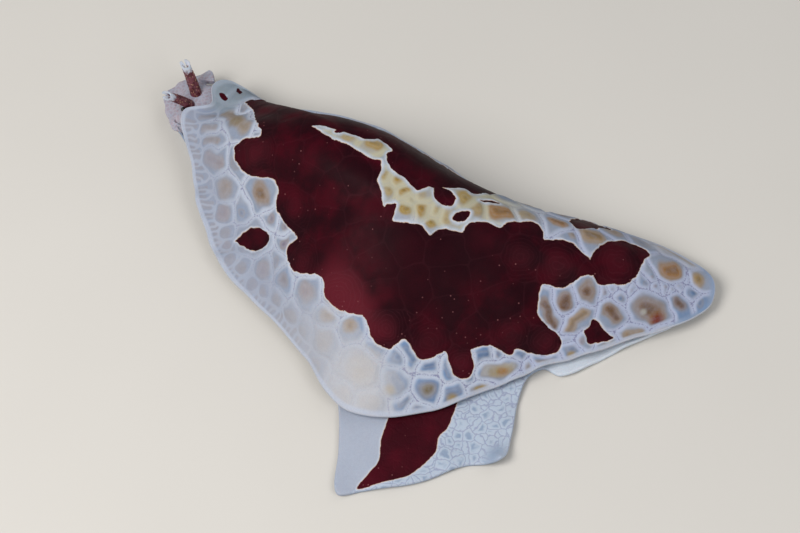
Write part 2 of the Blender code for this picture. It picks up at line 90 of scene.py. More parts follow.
RUFFLE_WAVES = ((9, 0.10, 0.4), (14, 0.16, 1.7), (23, 0.14, 3.9), (37, 0.09, 5.2))

# The column between mantle and foot
COLUMN_RING = 0.60
COLUMN_FRONT = 0.16
COLUMN_TOP = 14.0
COLUMN_BASE = 5.55
COLUMN_WAIST = 0.04
COLUMN_FLARE = 0.02

# Margin of the foot from the front round by the left side, with the flap spread out there
FOOT_MARGIN = (
    (2.5, -9.0), (8.5, -6.0), (13.0, 0.0), (21.0, 8.8), (33.0, 18.5), (49.0, 31.5), (61.0, 46.0),
    (70.0, 64.0), (80.0, 83.0), (90.0, 97.0), (101.0, 104.0), (115.0, 110.0), (131.0, 116.0),
    (127.0, 123.0), (116.5, 140.0), (104.0, 153.0), (98.5, 164.0), (88.0, 163.5), (73.5, 160.5),
    (63.0, 160.5), (57.5, 164.5), (58.0, 171.5), (49.0, 180.0), (39.5, 187.5), (31.0, 195.0),
    (21.0, 203.5), (12.0, 207.5), (5.0, 206.0), (0.5, 198.0), (-1.5, 184.0), (-0.5, 165.0),
    (3.5, 148.0), (4.5, 130.0), (2.0, 112.0), (-2.5, 96.0), (-5.5, 78.0), (-5.5, 58.0), (-2.5, 38.0),
    (-4.0, 20.0), (-7.5, 8.0), (-7.0, -2.0), (-2.5, -8.0),
)
# Degrees round the column that face a numbered point of the foot's margin
FOOT_SPOKES = (
    (-113, 0), (-92, 2), (-62, 4.5), (-36, 6.6), (-18, 8.3), (-7, 9.4), (6, 12), (13, 13), (36, 16),
    (52, 18.3), (60, 20), (66, 21.2), (84, 23.2), (104, 25.6), (114, 27.5), (128, 30), (150, 32),
    (200, 35.6), (232, 39),
)
FOOT_EDGE = 2.0
FOOT_SAG = 2.6
FOOT_SWELL = 0.35
FOOT_SWELL_LENGTH = 17.0
FOOT_SWELL_LOWEST = -0.5
FOOT_SEED = 5
FOOT_RUFFLE = 1.2
FOOT_LIP = 0.45
FOOT_THICKNESS = 1.7
FLAP_CORNER = (98.5, 164.0)
FLAP_CURL_RADIUS = 11.0
FLAP_CURL_HEIGHT = 3.2

# Fineness of the skin
TOP_GRID = (400, 740)
UNDER_RINGS = 14
UNDER_ARCH = 1.3
COLUMN_RINGS = 8
FOOT_RINGS = 70
SOLE_RINGS = 10
# The skin's map: where it starts, its span, the start and height of the upper side, the levels at which the
# rings, the foot and the sole start and end, and the spot of the closing faces
MAP_START = 0.005
MAP_SPAN = 0.99
MAP_TOP = (0.44, 0.555)
MAP_LEVELS = (0.43, 0.33, 0.05, 0.005)
MAP_REST = 0.002
# Turns of the rounded lips in degrees, and sizes of the rings in the middle of the sole
LIP_TURNS = (25, 60, 90, 120, 155, 180)
FOOT_LIP_TURNS = (40, 90, 140, 180)
SOLE_SCALES = (0.8, 0.6, 0.4, 0.2, 0.05)

# Tubercles read from the photograph: colour and strength of the heart, blue share, then spots of x, y and
# radius in pixels
TUBERCLES = (
    ("gold", 0.38, 0.2, (227, 114, 9), (237, 120, 11), (247, 128, 10)),
    ("blue", 0.3, 0.3, (259, 135, 4)),
    ("tan", 0.15, 0.2, (203, 117, 6), (212, 117, 6)),
    ("tan", 0.20, 0.2, (204, 128, 6), (216, 128, 6)),
    ("tan", 0.30, 0.2, (207, 140, 6), (219, 140, 6)),
    ("rose", 0.35, 0.2, (209, 158, 9), (221, 163, 12)),
    ("tan", 0.45, 0.1, (226, 188, 15)),
    ("umber", 0.85, 0.3, (262, 193, 17)),
    ("blue", 0.5, 0.3, (243, 212, 6)),
    ("rose", 0.45, 0.2, (224, 213, 12)),
    ("violet", 0.5, 0.2, (272, 218, 7)),
    ("violet", 0.5, 0.2, (287, 226, 7)),
    ("violet", 0.7, 0.2, (286, 243, 8)),
    ("violet", 0.1, 0.1, (249, 240, 15), (260, 239, 15)),
    ("tan", 0.1, 0.1, (225, 234, 8)),
    ("rose", 0.2, 0.1, (226, 246, 7)),
    ("tan", 0.1, 0.1, (230, 259, 8)),
    ("tan", 0.15, 0.1, (241, 268, 9)),
    ("rose", 0.40, 0.15, (264, 270, 12)),
    ("blue", 0.3, 0.15, (277, 262, 7)),
    ("tan", 0.1, 0.1, (252, 285, 8)),
    ("tan", 0.12, 0.1, (263, 292, 8)),
    ("tan", 0.15, 0.1, (277, 300, 9)),
    ("rose", 0.45, 0.25, (307, 291, 14)),
    ("tan", 0.45, 0.1, (328, 315, 11)),
    ("tan", 0.15, 0.1, (291, 315, 10)),
    ("tan", 0.1, 0.1, (303, 331, 9)),
    ("tan", 0.20, 0.1, (324, 341, 14)),
    ("tan", 0.60, 0.1, (351, 325, 10)),
    ("olive", 0.30, 0.0, (361, 370, 19)),
    ("tan", 0.1, 0.1, (341, 396, 12)),
    ("tan", 0.1, 0.1, (370, 403, 12)),
    ("blue", 0.1, 0.2, (376, 350, 8)),
    ("blue", 0.45, 0.7, (392, 379, 10), (398, 387, 9)),
    ("blue", 0.8, 1.0, (397, 358, 7)),
    ("olive", 1.0, 1.0, (427, 389, 13)),
    ("blue", 0.7, 0.9, (401, 402, 6), (408, 399, 5)),
    ("blue", 0.5, 0.6, (418, 408, 6)),
    ("blue", 0.7, 1.0, (406, 349, 5), (412, 359, 5)),
    ("blue", 0.7, 1.0, (424, 364, 5), (434, 363, 5)),
    ("blue", 0.8, 1.0, (444, 364, 5), (450, 374, 5)),
    ("blue", 0.5, 0.9, (448, 394, 6), (457, 391, 6)),
    ("blue", 0.9, 1.0, (478, 355, 6), (485, 354, 6)),
    ("violet", 0.3, 0.3, (497, 353, 5)),
    ("pale", 0.40, 0.2, (487, 371, 8), (500, 371, 10), (511, 368, 8)),
    ("tan", 0.2, 0.3, (474, 391, 6), (483, 388, 6)),
    ("blue", 0.3, 0.4, (467, 377, 5)),
    ("blue", 0.6, 0.9, (514, 355, 6), (520, 355, 5)),
    ("tan", 0.2, 0.3, (527, 366, 6)),
    ("tan", 0.2, 0.2, (519, 380, 6)),
    ("tan", 0.3, 0.2, (537, 360, 4), (545, 360, 4), (552, 360, 4)),
    ("brown", 0.85, 0.5, (544, 302, 8), (548, 314, 9), (553, 325, 8)),
    ("brown", 1.0, 0.5, (564, 298, 10), (564, 306, 9)),
    ("brown", 1.0, 0.4, (586, 291, 13)),
    ("tan", 0.75, 0.3, (568, 331, 7), (573, 320, 8), (584, 313, 7)),
    ("blue", 0.9, 0.8, (566, 337, 5)),
    ("violet", 0.3, 0.2, (580, 341, 5)),
    ("blue", 0.4, 0.6, (570, 350, 8)),
    ("brown", 0.9, 0.3, (608, 309, 9), (616, 317, 10)),
    ("blue", 0.7, 0.5, (619, 297, 6)),
    ("violet", 0.4, 0.3, (604, 292, 5)),
    ("brown", 0.8, 0.4, (643, 306, 17), (655, 314, 14)),
    ("tan", 0.6, 0.0, (627, 335, 8), (640, 336, 8)),
    ("blue", 0.6, 0.5, (645, 284, 4)),
    ("violet", 0.7, 0.3, (655, 288, 3)),
    ("violet", 0.7, 0.3, (664, 287, 3)),
    ("violet", 0.6, 0.3, (671, 290, 3)),
    ("violet", 0.7, 0.3, (678, 286, 3)),
    ("violet", 0.5, 0.3, (632, 291, 3)),
    ("violet", 0.5, 0.3, (625, 285, 3)),
    ("violet", 0.4, 0.3, (612, 289, 3)),
    ("violet", 0.4, 0.3, (651, 278, 3)),
    ("violet", 0.4, 0.3, (685, 278, 3)),
    ("orange", 1.0, 0.1, (666, 270, 13), (674, 271, 13)),
    ("brown", 0.9, 0.8, (676, 301, 9), (681, 306, 8)),
    ("blue", 1.0, 1.0, (692, 293, 8)),
    ("gold", 0.8, 0.1, (697, 280, 10)),
    ("blue", 0.6, 0.7, (700, 303, 7)),
    ("tan", 0.3, 0.0, (662, 331, 9)),
    ("tan", 0.35, 0.0, (660, 248, 6), (676, 255, 6), (690, 264, 5)),
    ("tan", 0.2, 0.1, (610, 350, 9)),
    ("orange", 0.9, 0.1, (553, 222, 9), (562, 225, 9)),
    ("tan", 0.4, 0.3, (572, 236, 7)),
    ("tan", 1.0, 0.2, (587, 235, 13), (598, 238, 12)),
    ("yellow", 0.5, 0.1, (527, 217, 12)),
    ("orange", 0.9, 0.1, (495, 212, 9), (507, 214, 9)),
    ("gold", 0.6, 0.2, (476, 209, 8)),
    ("yellow", 0.8, 0.0, (465, 198, 9)),
    ("yellow", 0.5, 0.0, (445, 218, 6)),
    ("yellow", 0.9, 0.0, (431, 223, 7)),
    ("gold", 1.0, 0.0, (422, 210, 8)),
    ("yellow", 0.6, 0.0, (433, 211, 5)),
    ("yellow", 1.0, 0.0, (406, 209, 7)),
    ("yellow", 0.3, 0.2, (422, 195, 6)),
    ("yellow", 0.3, 0.2, (411, 200, 4)),
    ("gold", 0.9, 0.0, (405, 191, 6)),
    ("yellow", 0.6, 0.2, (387, 190, 6)),
    ("gold", 0.95, 0.0, (397, 180, 7)),
    ("yellow", 0.8, 0.0, (386, 176, 5)),
    ("gold", 0.8, 0.0, (370, 143, 6), (378, 146, 6)),
    ("yellow", 0.5, 0.0, (349, 137, 7)),
    ("blue", 0.3, 0.4, (386, 160, 5)),
    ("blue", 0.2, 0.4, (222, 92, 10)),
    ("blue", 0.2, 0.4, (239, 97, 9)),
    ("blue", 0.2, 0.4, (207, 100, 9)),
    # inside the maroon, where they only show as rings
    ("maroon", 0.6, 0.0, (255, 154, 15), (263, 151, 13)),
    ("maroon", 1.0, 0.0, (338, 296, 17)),
    ("maroon", 0.6, 0.0, (304, 262, 13)),
    ("maroon", 1.0, 0.0, (386, 327, 14)),
    ("maroon", 0.6, 0.0, (430, 342, 15)),
    ("maroon", 0.8, 0.0, (461, 362, 12)),
    ("maroon", 0.7, 0.0, (558, 265, 16)),
    ("maroon", 0.7, 0.0, (545, 340, 13)),
    ("maroon", 0.8, 0.0, (618, 263, 20)),
    ("maroon", 0.5, 0.0, (510, 335, 14)),
    ("maroon", 0.5, 0.0, (520, 258, 14)),
    ("maroon", 0.4, 0.0, (295, 205, 14)),
)
# Single marks inside the tubercles: x, y and radius in pixels, colour and strength
MARKS = (
    (389, 390, 9, "yellow", 0.75),
    (452, 399, 9, "yellow", 0.85),
    (236, 121, 13, "olive", 0.70),
    (239, 123, 8, "olive", 0.60),
    (494, 372, 9, "yellow", 0.55),
    (502, 371, 10, "yellow", 0.65),
    (509, 370, 8, "yellow", 0.45),
    (501, 371, 6, "orange", 0.80),
    (505, 371, 5, "orange", 0.70),
    (477, 389, 5, "yellow", 0.80),
    (483, 387, 6, "yellow", 0.90),
    (489, 385, 5, "yellow", 0.70),
    (571, 355, 7, "yellow", 0.9),
    # a painted highlight on the heart of the big cell of the tail
    (643, 311, 5, "pale", 0.6),
    (656, 318, 12, "orange", 0.7),
    (657, 319, 10, "red", 1.0),
    (360, 373, 9, "yellow", 0.35),
)
# Where the light lies softly on the left side and hides the outlines: x, y and radius in pixels, strength
HAZE_PX = (
    (176, 112, 60, 0.65), (190, 160, 66, 0.60), (200, 205, 66, 0.60), (222, 258, 70, 0.65),
    (258, 302, 74, 0.80), (308, 345, 76, 0.90), (350, 385, 72, 1.00), (660, 246, 34, 0.70),
    (688, 262, 20, 0.55),
)
# Painted light and shade on the maroon, lighter on the lower left, darker over the hump: x, y and radius in
# pixels, strength
PAINTED_MAROON_SHADING_PX = (
    (345, 300, 60, 0.9),
    (400, 330, 50, 0.3),
    (420, 262, 90, -0.9),
    (470, 240, 60, -0.4),
    (430, 160, 60, -0.9),
    (255, 155, 20, 0.2),
)
FRONT_LOBE_PX = (232, 92)
# Small flat cells in a row along the front left margin
EDGE_CELL_ARC = (-113, -14)
EDGE_CELL_SPACING = 2.4
EDGE_CELL_RADIUS = 1.2
EDGE_CELL_STRAY = 0.75
EDGE_CELL_SHIFT = 0.016
EDGE_CELL_BEATS = (2.7, 4.1)
EDGE_CELL_PLACES = (0.975, 0.945)
EDGE_CELL_LOOKS = ("tan", 0.1, 0.15)
HEARTS = {
    "tan": (148, 123, 88),
    "brown": (114, 84, 56),
    "rose": (150, 130, 132),
    "olive": (128, 112, 78),
    "umber": (126, 98, 66),
    "orange": (146, 106, 56),
    "gold": (150, 120, 52),
    "yellow": (150, 124, 58),
    "blue": (104, 131, 168),
    "violet": (122, 116, 140),
    "red": (112, 50, 30),
    "pale": (176, 178, 170),
    "maroon": (60, 8, 18),
}
FILL_SEED = 11
FILL_TRIES = 2600
FILL_RADII = (3.4, 5.2)
FILL_GAP = 1.12
FILL_KINDS = ("tan", "tan", "blue", "brown")
FILL_STRENGTHS = (0.2, 0.7)
FILL_BLUES = (0.1, 0.5)

# Stirring of the cells and of the maroon's edge: size, first seed and wave length
CELL_STIR = (0.40, 21, 7.0)
PATCH_STIR = (0.16, 31, 3.2)
# How high the tubercles stand in the maroon, how much more in the pale skin, and their middles
DOME_HEIGHTS = (0.06, 0.44)
NUB_HEIGHT = 0.3

# Outlines of the maroon markings, in pixels
PATCH_NEAR_PX = (
    (246, 103), (253, 110), (256, 120), (262, 133), (256, 138), (248, 138), (237, 145), (235, 155),
    (240, 167), (250, 175), (265, 178), (273, 178), (279, 190), (276, 205), (282, 218), (290, 228),
    (298, 237), (290, 245), (287, 255), (291, 267), (300, 273), (318, 275), (324, 280), (325, 292),
    (334, 306), (350, 313), (364, 317), (368, 328), (373, 340), (389, 349), (405, 338), (414, 350),
    (420, 360), (433, 358), (445, 352), (449, 362), (454, 374), (465, 378), (473, 371), (472, 357),
    (472, 349), (490, 345), (500, 350), (509, 355), (518, 349), (530, 353), (552, 354), (559, 349),
    (561, 341), (555, 332), (544, 323), (537, 312), (538, 299), (543, 284), (559, 288), (573, 283),
    (580, 277), (587, 274), (592, 275), (595, 266), (589, 258), (581, 252), (572, 244), (559, 240),
    (544, 239), (543, 232), (537, 225), (530, 222), (509, 223), (500, 228), (492, 224), (480, 222),
    (470, 223), (461, 232), (445, 229), (437, 230), (430, 235), (421, 226), (411, 223), (394, 222),
    (394, 214), (396, 207), (395, 203), (389, 204), (384, 206), (381, 191), (377, 181), (381, 170),
    (380, 161), (370, 158), (350, 146), (335, 140), (320, 132), (312, 126),
)
PATCH_RIDGE_PX = (
    (325, 127), (345, 133), (370, 140), (379, 140), (392, 149), (387, 154), (388, 163), (394, 171),
    (406, 179), (412, 186), (418, 190), (428, 187), (435, 188), (457, 188), (467, 190), (476, 194),
)
# The far side of the maroon patch, which the photograph hides, in millimetres
PATCH_FAR_MM = (
    (9.0, 133.0), (6.2, 128.5), (8.2, 122.0), (5.6, 117.5), (5.0, 113.0), (6.6, 109.0), (2.6, 105.0),
    (0.6, 100.5), (2.4, 94.5), (-1.2, 90.0), (-3.4, 86.5), (-2.9, 82.0), (-1.2, 78.5), (-5.6, 74.0),
    (-6.6, 69.0), (-4.6, 62.5), (-6.9, 58.5), (-5.9, 54.5), (-2.6, 51.0), (-5.4, 46.0), (-4.0, 41.0),
    (-0.6, 37.5), (-2.2, 33.0), (0.6, 28.5), (0.8, 25.0),
)
OVAL_PX = (
    (589, 265), (594, 253), (601, 246), (614, 241), (627, 242), (638, 247), (650, 254), (643, 262),
    (637, 275), (624, 285), (612, 284), (601, 284), (595, 279),
)
TEARDROP_PX = (
    (235, 241), (238, 239), (246, 232), (254, 228), (264, 230), (270, 238), (266, 246), (254, 251),
    (244, 247), (238, 243),
)
TRIANGLE_PX = (
    (592, 319), (599, 323), (606, 332), (613, 338), (601, 342), (589, 344), (586, 337), (584, 331),
    (590, 326),
)
RIDGE_SPOT_PX = ((435, 186), (441, 187), (449, 191), (455, 199), (452, 206), (441, 204), (435, 198))
RIDGE_OVAL_PX = ((453, 217), (457, 212), (464, 211), (470, 213), (467, 219), (461, 222), (455, 220))
TAIL_BAR_PX = (
    (570, 221), (581, 219), (594, 221), (602, 225), (611, 231), (601, 229), (581, 230), (574, 226),
)
FRONT_SPOTS_PX = (
    ((220, 94), (224, 94), (228, 99), (225, 101), (221, 98)),
    ((236, 89), (239, 89), (242, 93), (240, 95), (237, 92)),
    ((256, 100), (260, 101), (264, 106), (260, 105)),
    ((335, 131), (339, 130), (344, 132), (339, 134)),
    ((480, 200), (490, 201), (500, 204), (493, 204), (484, 202)),
)

# The flap of the foot: its dark band and its smooth white part, in pixels
FLAP_BAND_PX = (
    (400, 392), (462, 378), (457, 402), (452, 416), (447, 428), (439, 437), (436, 451), (427, 462),
    (415, 472), (406, 477), (381, 483), (357, 488), (370, 472), (379, 460), (381, 440), (386, 425),
    (392, 408),
)
FLAP_WHITE_PX = (
    (395, 380), (392, 408), (384, 440), (376, 466), (350, 495), (325, 500), (325, 400), (350, 380),
)

# How a cell's colours lie on its core, which runs from 0 at the heart to about 1 at the border
BLUE_RUN = (2.0, 1.1)
RIM_CREAM = 0.6
HALO_RUN = (1.05, 0.50)
HALO_SHARES = (0.35, 0.6)
HALO_LESS_BLUE = 0.6
HEART_RUN = (0.94, 0.20)
HEART_RIDGE_WIDER = 0.45
HEART_BLUE_NARROWER = 0.18
MIDDLE_RUN = (0.36, 0.10)
MIDDLE_DARKER = 0.28
CELL_RING = (0.46, 0.07, 0.10)
NUB_WIDTH = 0.35
# How much further off the borders count in the streaks of the front left margin
STREAKS_WIDEN = 2.2
# How round areas fade, in their own radii
MARK_RUN = (1.0, 0.2)
HAZE_RUN = (1.0, 0.25)
SHADING_RUN = (1.0, 0.2)
# How far other colours cover the cells, and then the lines between them: the painted soft light, the front
# lobe, the blue shore of the ridge, the violet of the tail's lines, and the blue near the maroon on the lower
# left
HAZE_COVERS = (0.75, 0.60)
LOBE_COVERS = (0.85, 0.5)
SHORE_COVERS = 0.85
VIOLET_COVERS = 0.85
BLUE_SHORE_COVERS = 0.95
# How far from an outline its depth is worked out, and the spacing of the points laid along it
DEPTH_REACH = 9.0
OUTLINE_STEP = 0.2
# Where things of the upper side fade in, from none to full: places along an axis in millimetres, radii in
# millimetres, places in the unit disk, and depths inside the maroon
LOBE_RUN = (13, 7)
RIDGE_BEHIND = (150, 128)
RIDGE_FRONT = (50, 62)
RIDGE_LEFT = (46, 40)
RIDGE_RISE = (22, 32)
SHORE_RUN = (-1.9, -0.6)
BLUE_SHORE = ((-3.4, -1.8), (-0.5, -1.2))
BLUE_BEHIND = (95, 108)
BLUE_LEFT = (50, 60)
PAINTED_LIGHT_BEHIND = (50, 115)
VIOLET_BEHIND = (140, 165)
TAIL_TIP = (196, 207)
TAIL_MARGIN = (0.980, 0.998)
WHITE_MARGIN = (0.978, 0.990)
STREAKS_RIM = (0.86, 0.93)
STREAKS_FRONT = (100, 80)
STREAKS_LEFT = (0, 10)
BORDER_RISE = (0.15, 2.2)
FLAT_RIM = (1.0, 0.95)
PLAIN_RIM = (1.0, 0.985)
SLIT_CLEAR = (1.2, 2.4)
# The same on the foot: along its axes, from the flap's corner, and from the column to the margin
FLAP_LEFT = (56, 66)
FLAP_LIFTED = (0.4, 1.2)
FLAP_OFF_CORNER = (2, 8)
FLAP_SMOOTH = (-1.5, 1.0)
RIBBON_OUTER = (0.30, 0.60)
RIBBON_BEHIND = (160, 170)

# Head, mouth and oral veil
HEAD_X = 3.2
HEAD_FRONT = -2.5
HEAD_TOP = 11.5
# Sections of the head: place along it, half width, lowest and highest point
HEAD_SECTIONS = (
    (29.0, 9.6, 6.4, 11.8),
    (25.7, 10.4, 6.1, 12.4),
    (18.0, 10.2, 5.9, 12.2),
    (12.0, 10.0, 5.0, 11.6),
    (6.0, 10.4, 4.0, 11.5),
    (0.0, 10.4, 3.8, 11.5),
    (-2.5, 10.0, 4.0, 11.2),
    (-3.6, 8.6, 4.8, 10.4),
)
# Squareness of the sections, their points and the smoothing
HEAD_POWER = 3.0
HEAD_AROUND = 48
HEAD_SMOOTHING = 6
# The veil: pairs go from its root to its edge
VEIL_LENGTH = 9.0
VEIL_HALVES = (13.0, 16.0)
VEIL_SKEW = 1.6
VEIL_CORNER = 0.8
VEIL_WRAP = 6.0
VEIL_SWEEP = 12.0
VEIL_ROUNDING = 1.6
VEIL_HEIGHTS = (9.2, 7.2)
VEIL_WIDENING = 0.8
VEIL_ROLL = 1.6
VEIL_ROLL_WIDTH = 1.3
VEIL_ROLL_TURNS = (0.5, 2.5)
VEIL_ROLL_MOST = 2.4
VEIL_SIDES = (0.6, 0.1)
# Waves of the veil's edge and of its face: size, count and phase
VEIL_SCALLOPS = (0.3, 21.0, 0.6)
VEIL_BILLOWS = (0.5, 9.0, 0.0)
# Fineness and half thickness of the veil, and the mouth with its lips
VEIL_GRID = (120, 44)
VEIL_THICKNESS = (1.15, 0.60)
MOUTH_HALF = (4.6, 1.15)
MOUTH_HEIGHT = 5.4
LIP_RADII = (1.05, 0.95, 0.84)
LIP_REACH = 1.4
LIP_PUCKERS = 12
LIP_STEPS = (72, 14)
HEAD_VOXEL = 0.32

# Rhinophores and eyes
SIDES = (("left", 1), ("right", -1))
RHINOPHORE_LENGTH = 12.5
RHINOPHORE_RADII = (2.3, 1.7)
RHINOPHORE_WALL = 0.75
RHINOPHORE_SPACING = 2.9
RHINOPHORE_BASE = (2.6, 0.8)
RHINOPHORE_SPLAY = 0.42
RHINOPHORE_SLIT = math.radians(44)
RHINOPHORE_FOLDS = 11
RHINOPHORE_STEPS = (90, 44)
RHINOPHORE_ROOT = 0.6
RHINOPHORE_RISE = 0.72
RHINOPHORE_LEAN = 0.5
RHINOPHORE_BENDS = (1.3, 1.4)
RHINOPHORE_TURN = 30
RHINOPHORE_FOLD_DEPTH = 0.10
RHINOPHORE_FLARE = 0.25
RHINOPHORE_THINNING = 0.75
RHINOPHORE_SLANT = 0.35
SLIT_EDGE_SIZE = 0.22
SLIT_EDGE_WIDTH = 0.05
# Where along a feeler the folds, the flare and the thin wall of its tip set in
FOLDS_RUN = (0.3, 0.4)
FLARE_RUN = (0.9, 1.0)
THIN_RUN = (0.96, 1.0)
# The beads of the eyes
EYE_RADIUS = 0.9
EYE_OFFSET = (6.0, -0.4)
EYE_LIFT = 0.1
EYE_RINGS = 12
EYE_AROUND = 28

# Gill
GILL_REACH = (62.0, 128.0)
GILL_OFFSET = (2.6, 6.5)
GILL_HEIGHTS = (8.1, 6.0)
GILL_RADII = (1.5, 0.7)
GILL_PLUMES = 34
GILL_STEPS = (70, 20)
GILL_SEED = 5
GILL_BEADS = (0.05, 200)
PLUME_LEAN = 0.28
PLUME_STRAY = 0.08
PLUME_SPREAD = 0.42
LEAFLET_START = 0.22
LEAFLET_SPAN = 0.72
LEAFLET_TAPER = 0.6
LEAFLET_LEAN = 0.55
PLUME_LENGTH = 6.2
PLUME_LEAFLETS = 9
PLUME_SIZE = (0.7, 0.5)
LEAFLET_LENGTH = 1.5
LEAFLET_SIZE = (0.62, 0.32)
GILL_COLOURS = ((160, 132, 112), (134, 100, 86), (196, 178, 162))

# Floor, air and lights: name, place in metres, width, power and colour
FLOOR_HALF = 2.5
FLOOR_DROP = 0.0001
AIR_COLOUR = (0.96, 0.98, 1.0, 1.0)
AIR_STRENGTH = 0.32
LIGHTS = (
    ("key", (0.45, -0.35, 0.75), 0.55, 6.8, (1.0, 0.985, 0.96)),
    ("fill", (-0.7, 0.3, 0.6), 0.8, 1.0, (0.94, 0.97, 1.0)),
    ("side", (0.35, 0.8, 0.7), 0.6, 3.2, (0.98, 0.99, 1.0)),
)
LIGHT_AIM = (0.0, 0.0, 0.02)


def smooth_step(low, high, values):
    """0 below low and 1 above high, with an eased run between them, in either direction."""
    t = np.clip((np.asarray(values, float) - low) / (high - low), 0, 1)
    return t * t * (3 - 2 * t)


def between(ends, share):
    """The value at a share of the way from the first end to the second."""
    return ends[0] + (ends[1] - ends[0]) * share


def unit(vector):
    """The direction of a vector."""
    return vector / np.linalg.norm(vector)


def full_turn(count):
    """Angles spread evenly over a full turn."""
    return np.linspace(0, 2 * math.pi, count, endpoint=False)


def loop_band(first, second):
    """Quads between two index loops of the same length."""
    return np.stack([first, np.roll(first, -1), np.roll(second, -1), second], -1)


def loop_fan(middle, loop):
    """Triangles from a middle point to an index loop."""
    return np.stack([np.full(len(loop), middle), np.roll(loop, -1), loop], -1)


def linear_colour(red, green, blue):
    """An sRGB colour of 0 to 255 as linear light."""
    share = np.array([red, green, blue], float) / 255
    return np.where(share <= 0.04045, share / 12.92, ((share + 0.055) / 1.055) ** 2.4)


def paint(red, green, blue):
    """An sRGB colour of 0 to 255 as a colour for a shader."""
    return (*(float(channel) for channel in linear_colour(red, green, blue)), 1.0)


def blended(first, second, share):
    """Two colours or fields of colours mixed by a field."""
    return between((first, second), np.asarray(share)[..., None])


# Colours as the photograph shows them
LINE_WHITE = linear_colour(180, 187, 202)
SHORE_BLUE = linear_colour(166, 174, 184)
LINE_VIOLET = linear_colour(168, 175, 199)
LINE_CREAM = linear_colour(174, 169, 147)
CELL_PALE = linear_colour(146, 153, 168)
CELL_BLUE = linear_colour(102, 130, 167)
CELL_BEIGE = linear_colour(150, 132, 110)
CELL_CREAM = linear_colour(164, 153, 122)
# colours of the painted soft light on the left side, cooler in front and warmer behind
HAZE_COOL = linear_colour(144, 150, 168)
HAZE_WARM = linear_colour(192, 191, 193)
LOBE_GREY = linear_colour(126, 138, 146)
TAIL_BLUE = linear_colour(122, 147, 180)
UNDER_PALE = linear_colour(176, 180, 190)
FLAP_WHITE = linear_colour(166, 173, 188)
FLAP_PALE = linear_colour(138, 154, 177)
RIBBON_WHITE = linear_colour(204, 212, 222)
TAIL_BROWN = linear_colour(158, 146, 138)
SOLE_GREY = linear_colour(150, 152, 160)

# How much of each layer shows in the shaders
LAYERS = {
    "mottle": 0.14, "grain": 0.13, "bank": 0.95, "beads": 0.40, "groove": 0.80, "net bank": 0.90,
    "net line": 0.62, "cream": 0.75, "lighter": 0.75, "darker": 0.80, "glow": 0.35, "rings": 0.15,
    "veins": 0.08, "glints": 0.5, "gill dots": 0.45, "head net": 0.35, "head dots": 0.5, "feeler dots": 0.6,
}
# How wide the features of each texture are, in millimetres
SIZES = {
    "cloud": 11.0, "drift": 7.0, "rings": 4.0, "veins": 6.0, "glints": 3.0, "lit": 7.0, "mottle": 2.2,
    "grain": 0.5, "granules": 0.75, "breaks": 0.55, "wobble": 1.6, "net": 3.8, "net warp": 2.8,
    "shore": 3.0, "sheen": 3.0, "pimples": 0.45, "gill cloud": 3.0, "gill dots": 0.6, "gill pimples": 0.4,
    "gill sheen": 2.0, "head cloud": 5.0, "head net": 1.6, "head net warp": 3.0, "head dots": 2.4,
    "head lit": 5.0, "feeler cloud": 1.6, "feeler dots": 0.8, "feeler wobble": 0.9,
    "feeler pimples": 0.35, "eye": 0.5, "floor": 120.0,
}
# Where the shaders' eased changes start and end: on textures, and on the skin's own fields
RUNS = {
    "cloud": (0.35, 0.68), "lighter": (0.0, 1.0), "darker": (0.0, -1.0), "glow": (1.3, 0.2),
    "rings": (0.5, 1.0), "veins": (0.36, 0.12), "glints": (0.110, 0.060), "lit": (0.40, 0.6),
    "mottle": (0.35, 0.75), "grain": (0.35, 0.70), "bank": (2.0, 0.55), "granules": (0.36, 0.16),
    "beads": (1.15, 0.55), "breaks": (0.40, 0.54), "groove": (0.26, 0.08), "net bank": (0.40, 0.16),
    "net line": (0.075, 0.01), "white": (-1.0, -0.30), "cream": (-0.28, -0.08), "maroon": (-0.12, 0.12),
    "furrow": (0.0, 0.14), "gill cloud": (0.35, 0.7), "gill dots": (0.32, 0.15), "head cloud": (0.3, 0.7),
    "head net": (0.30, 0.05), "head dots": (0.22, 0.12), "head lit": (0.5, 0.6), "head furrow": (0.0, 0.3),
    "feeler cloud": (0.3, 0.7), "feeler dots": (0.30, 0.16), "feeler tip": (0.80, 0.93),
}
# How deep each bump is in millimetres, and its strength
BUMPS = {
    "pimples": (0.05, 0.5), "furrow": (0.10, 0.8), "gill": (0.05, 0.6), "head": (0.08, 0.8),
    "feeler": (0.04, 0.6),
}
# Roughness as a factor on noise and an offset
ROUGHNESS = {"skin": (0.16, 0.46), "gill": (0.15, 0.33)}
# How far noise moves the nets, in millimetres, and the fields
NET_WARP = 2.6
HEAD_WARP = 0.9
EDGE_WOBBLE = 0.55
BORDER_WOBBLE = 0.30
FEELER_WOBBLE = 0.2
SHORE_BREAKS = (0.9, 0.25)
RING_TURNS = 24.0
RING_DRIFT = 14.0
RING_WOBBLE = 3.0
# How light enters wet flesh
SCATTER_RADIUS = (1.0, 0.55, 0.4)
SCATTER_SCALE = 0.0015
COAT_ROUGHNESS = 0.25
# Colours of the shaders
EYE_DARK = (0.004, 0.004, 0.006, 1.0)
EYE_SHEEN = (0.02, 0.018, 0.022, 1.0)
FLOOR_GREY = paint(206, 202, 196)
FLOOR_PALE = paint(212, 208, 202)
HEAD_GREY = paint(152, 146, 160)
HEAD_ROSE = paint(164, 150, 161)
MAROON_DARK = paint(33, 4, 12)
MAROON_MID = paint(58, 4, 17)
# the colour of painted light on the maroon
MAROON_LIT = paint(98, 28, 40)
MAROON_GLOW = paint(90, 24, 36)
MAROON_LIGHT = paint(106, 54, 64)
# the colour of painted wet highlights on the maroon
MAROON_GLINT = paint(150, 96, 98)
BORDER_CREAM = paint(206, 166, 132)
BORDER_WHITE = paint(186, 192, 204)
GROOVE_VIOLET = paint(122, 122, 152)
NET_LILAC = paint(134, 138, 168)
NET_WHITE = paint(178, 189, 204)


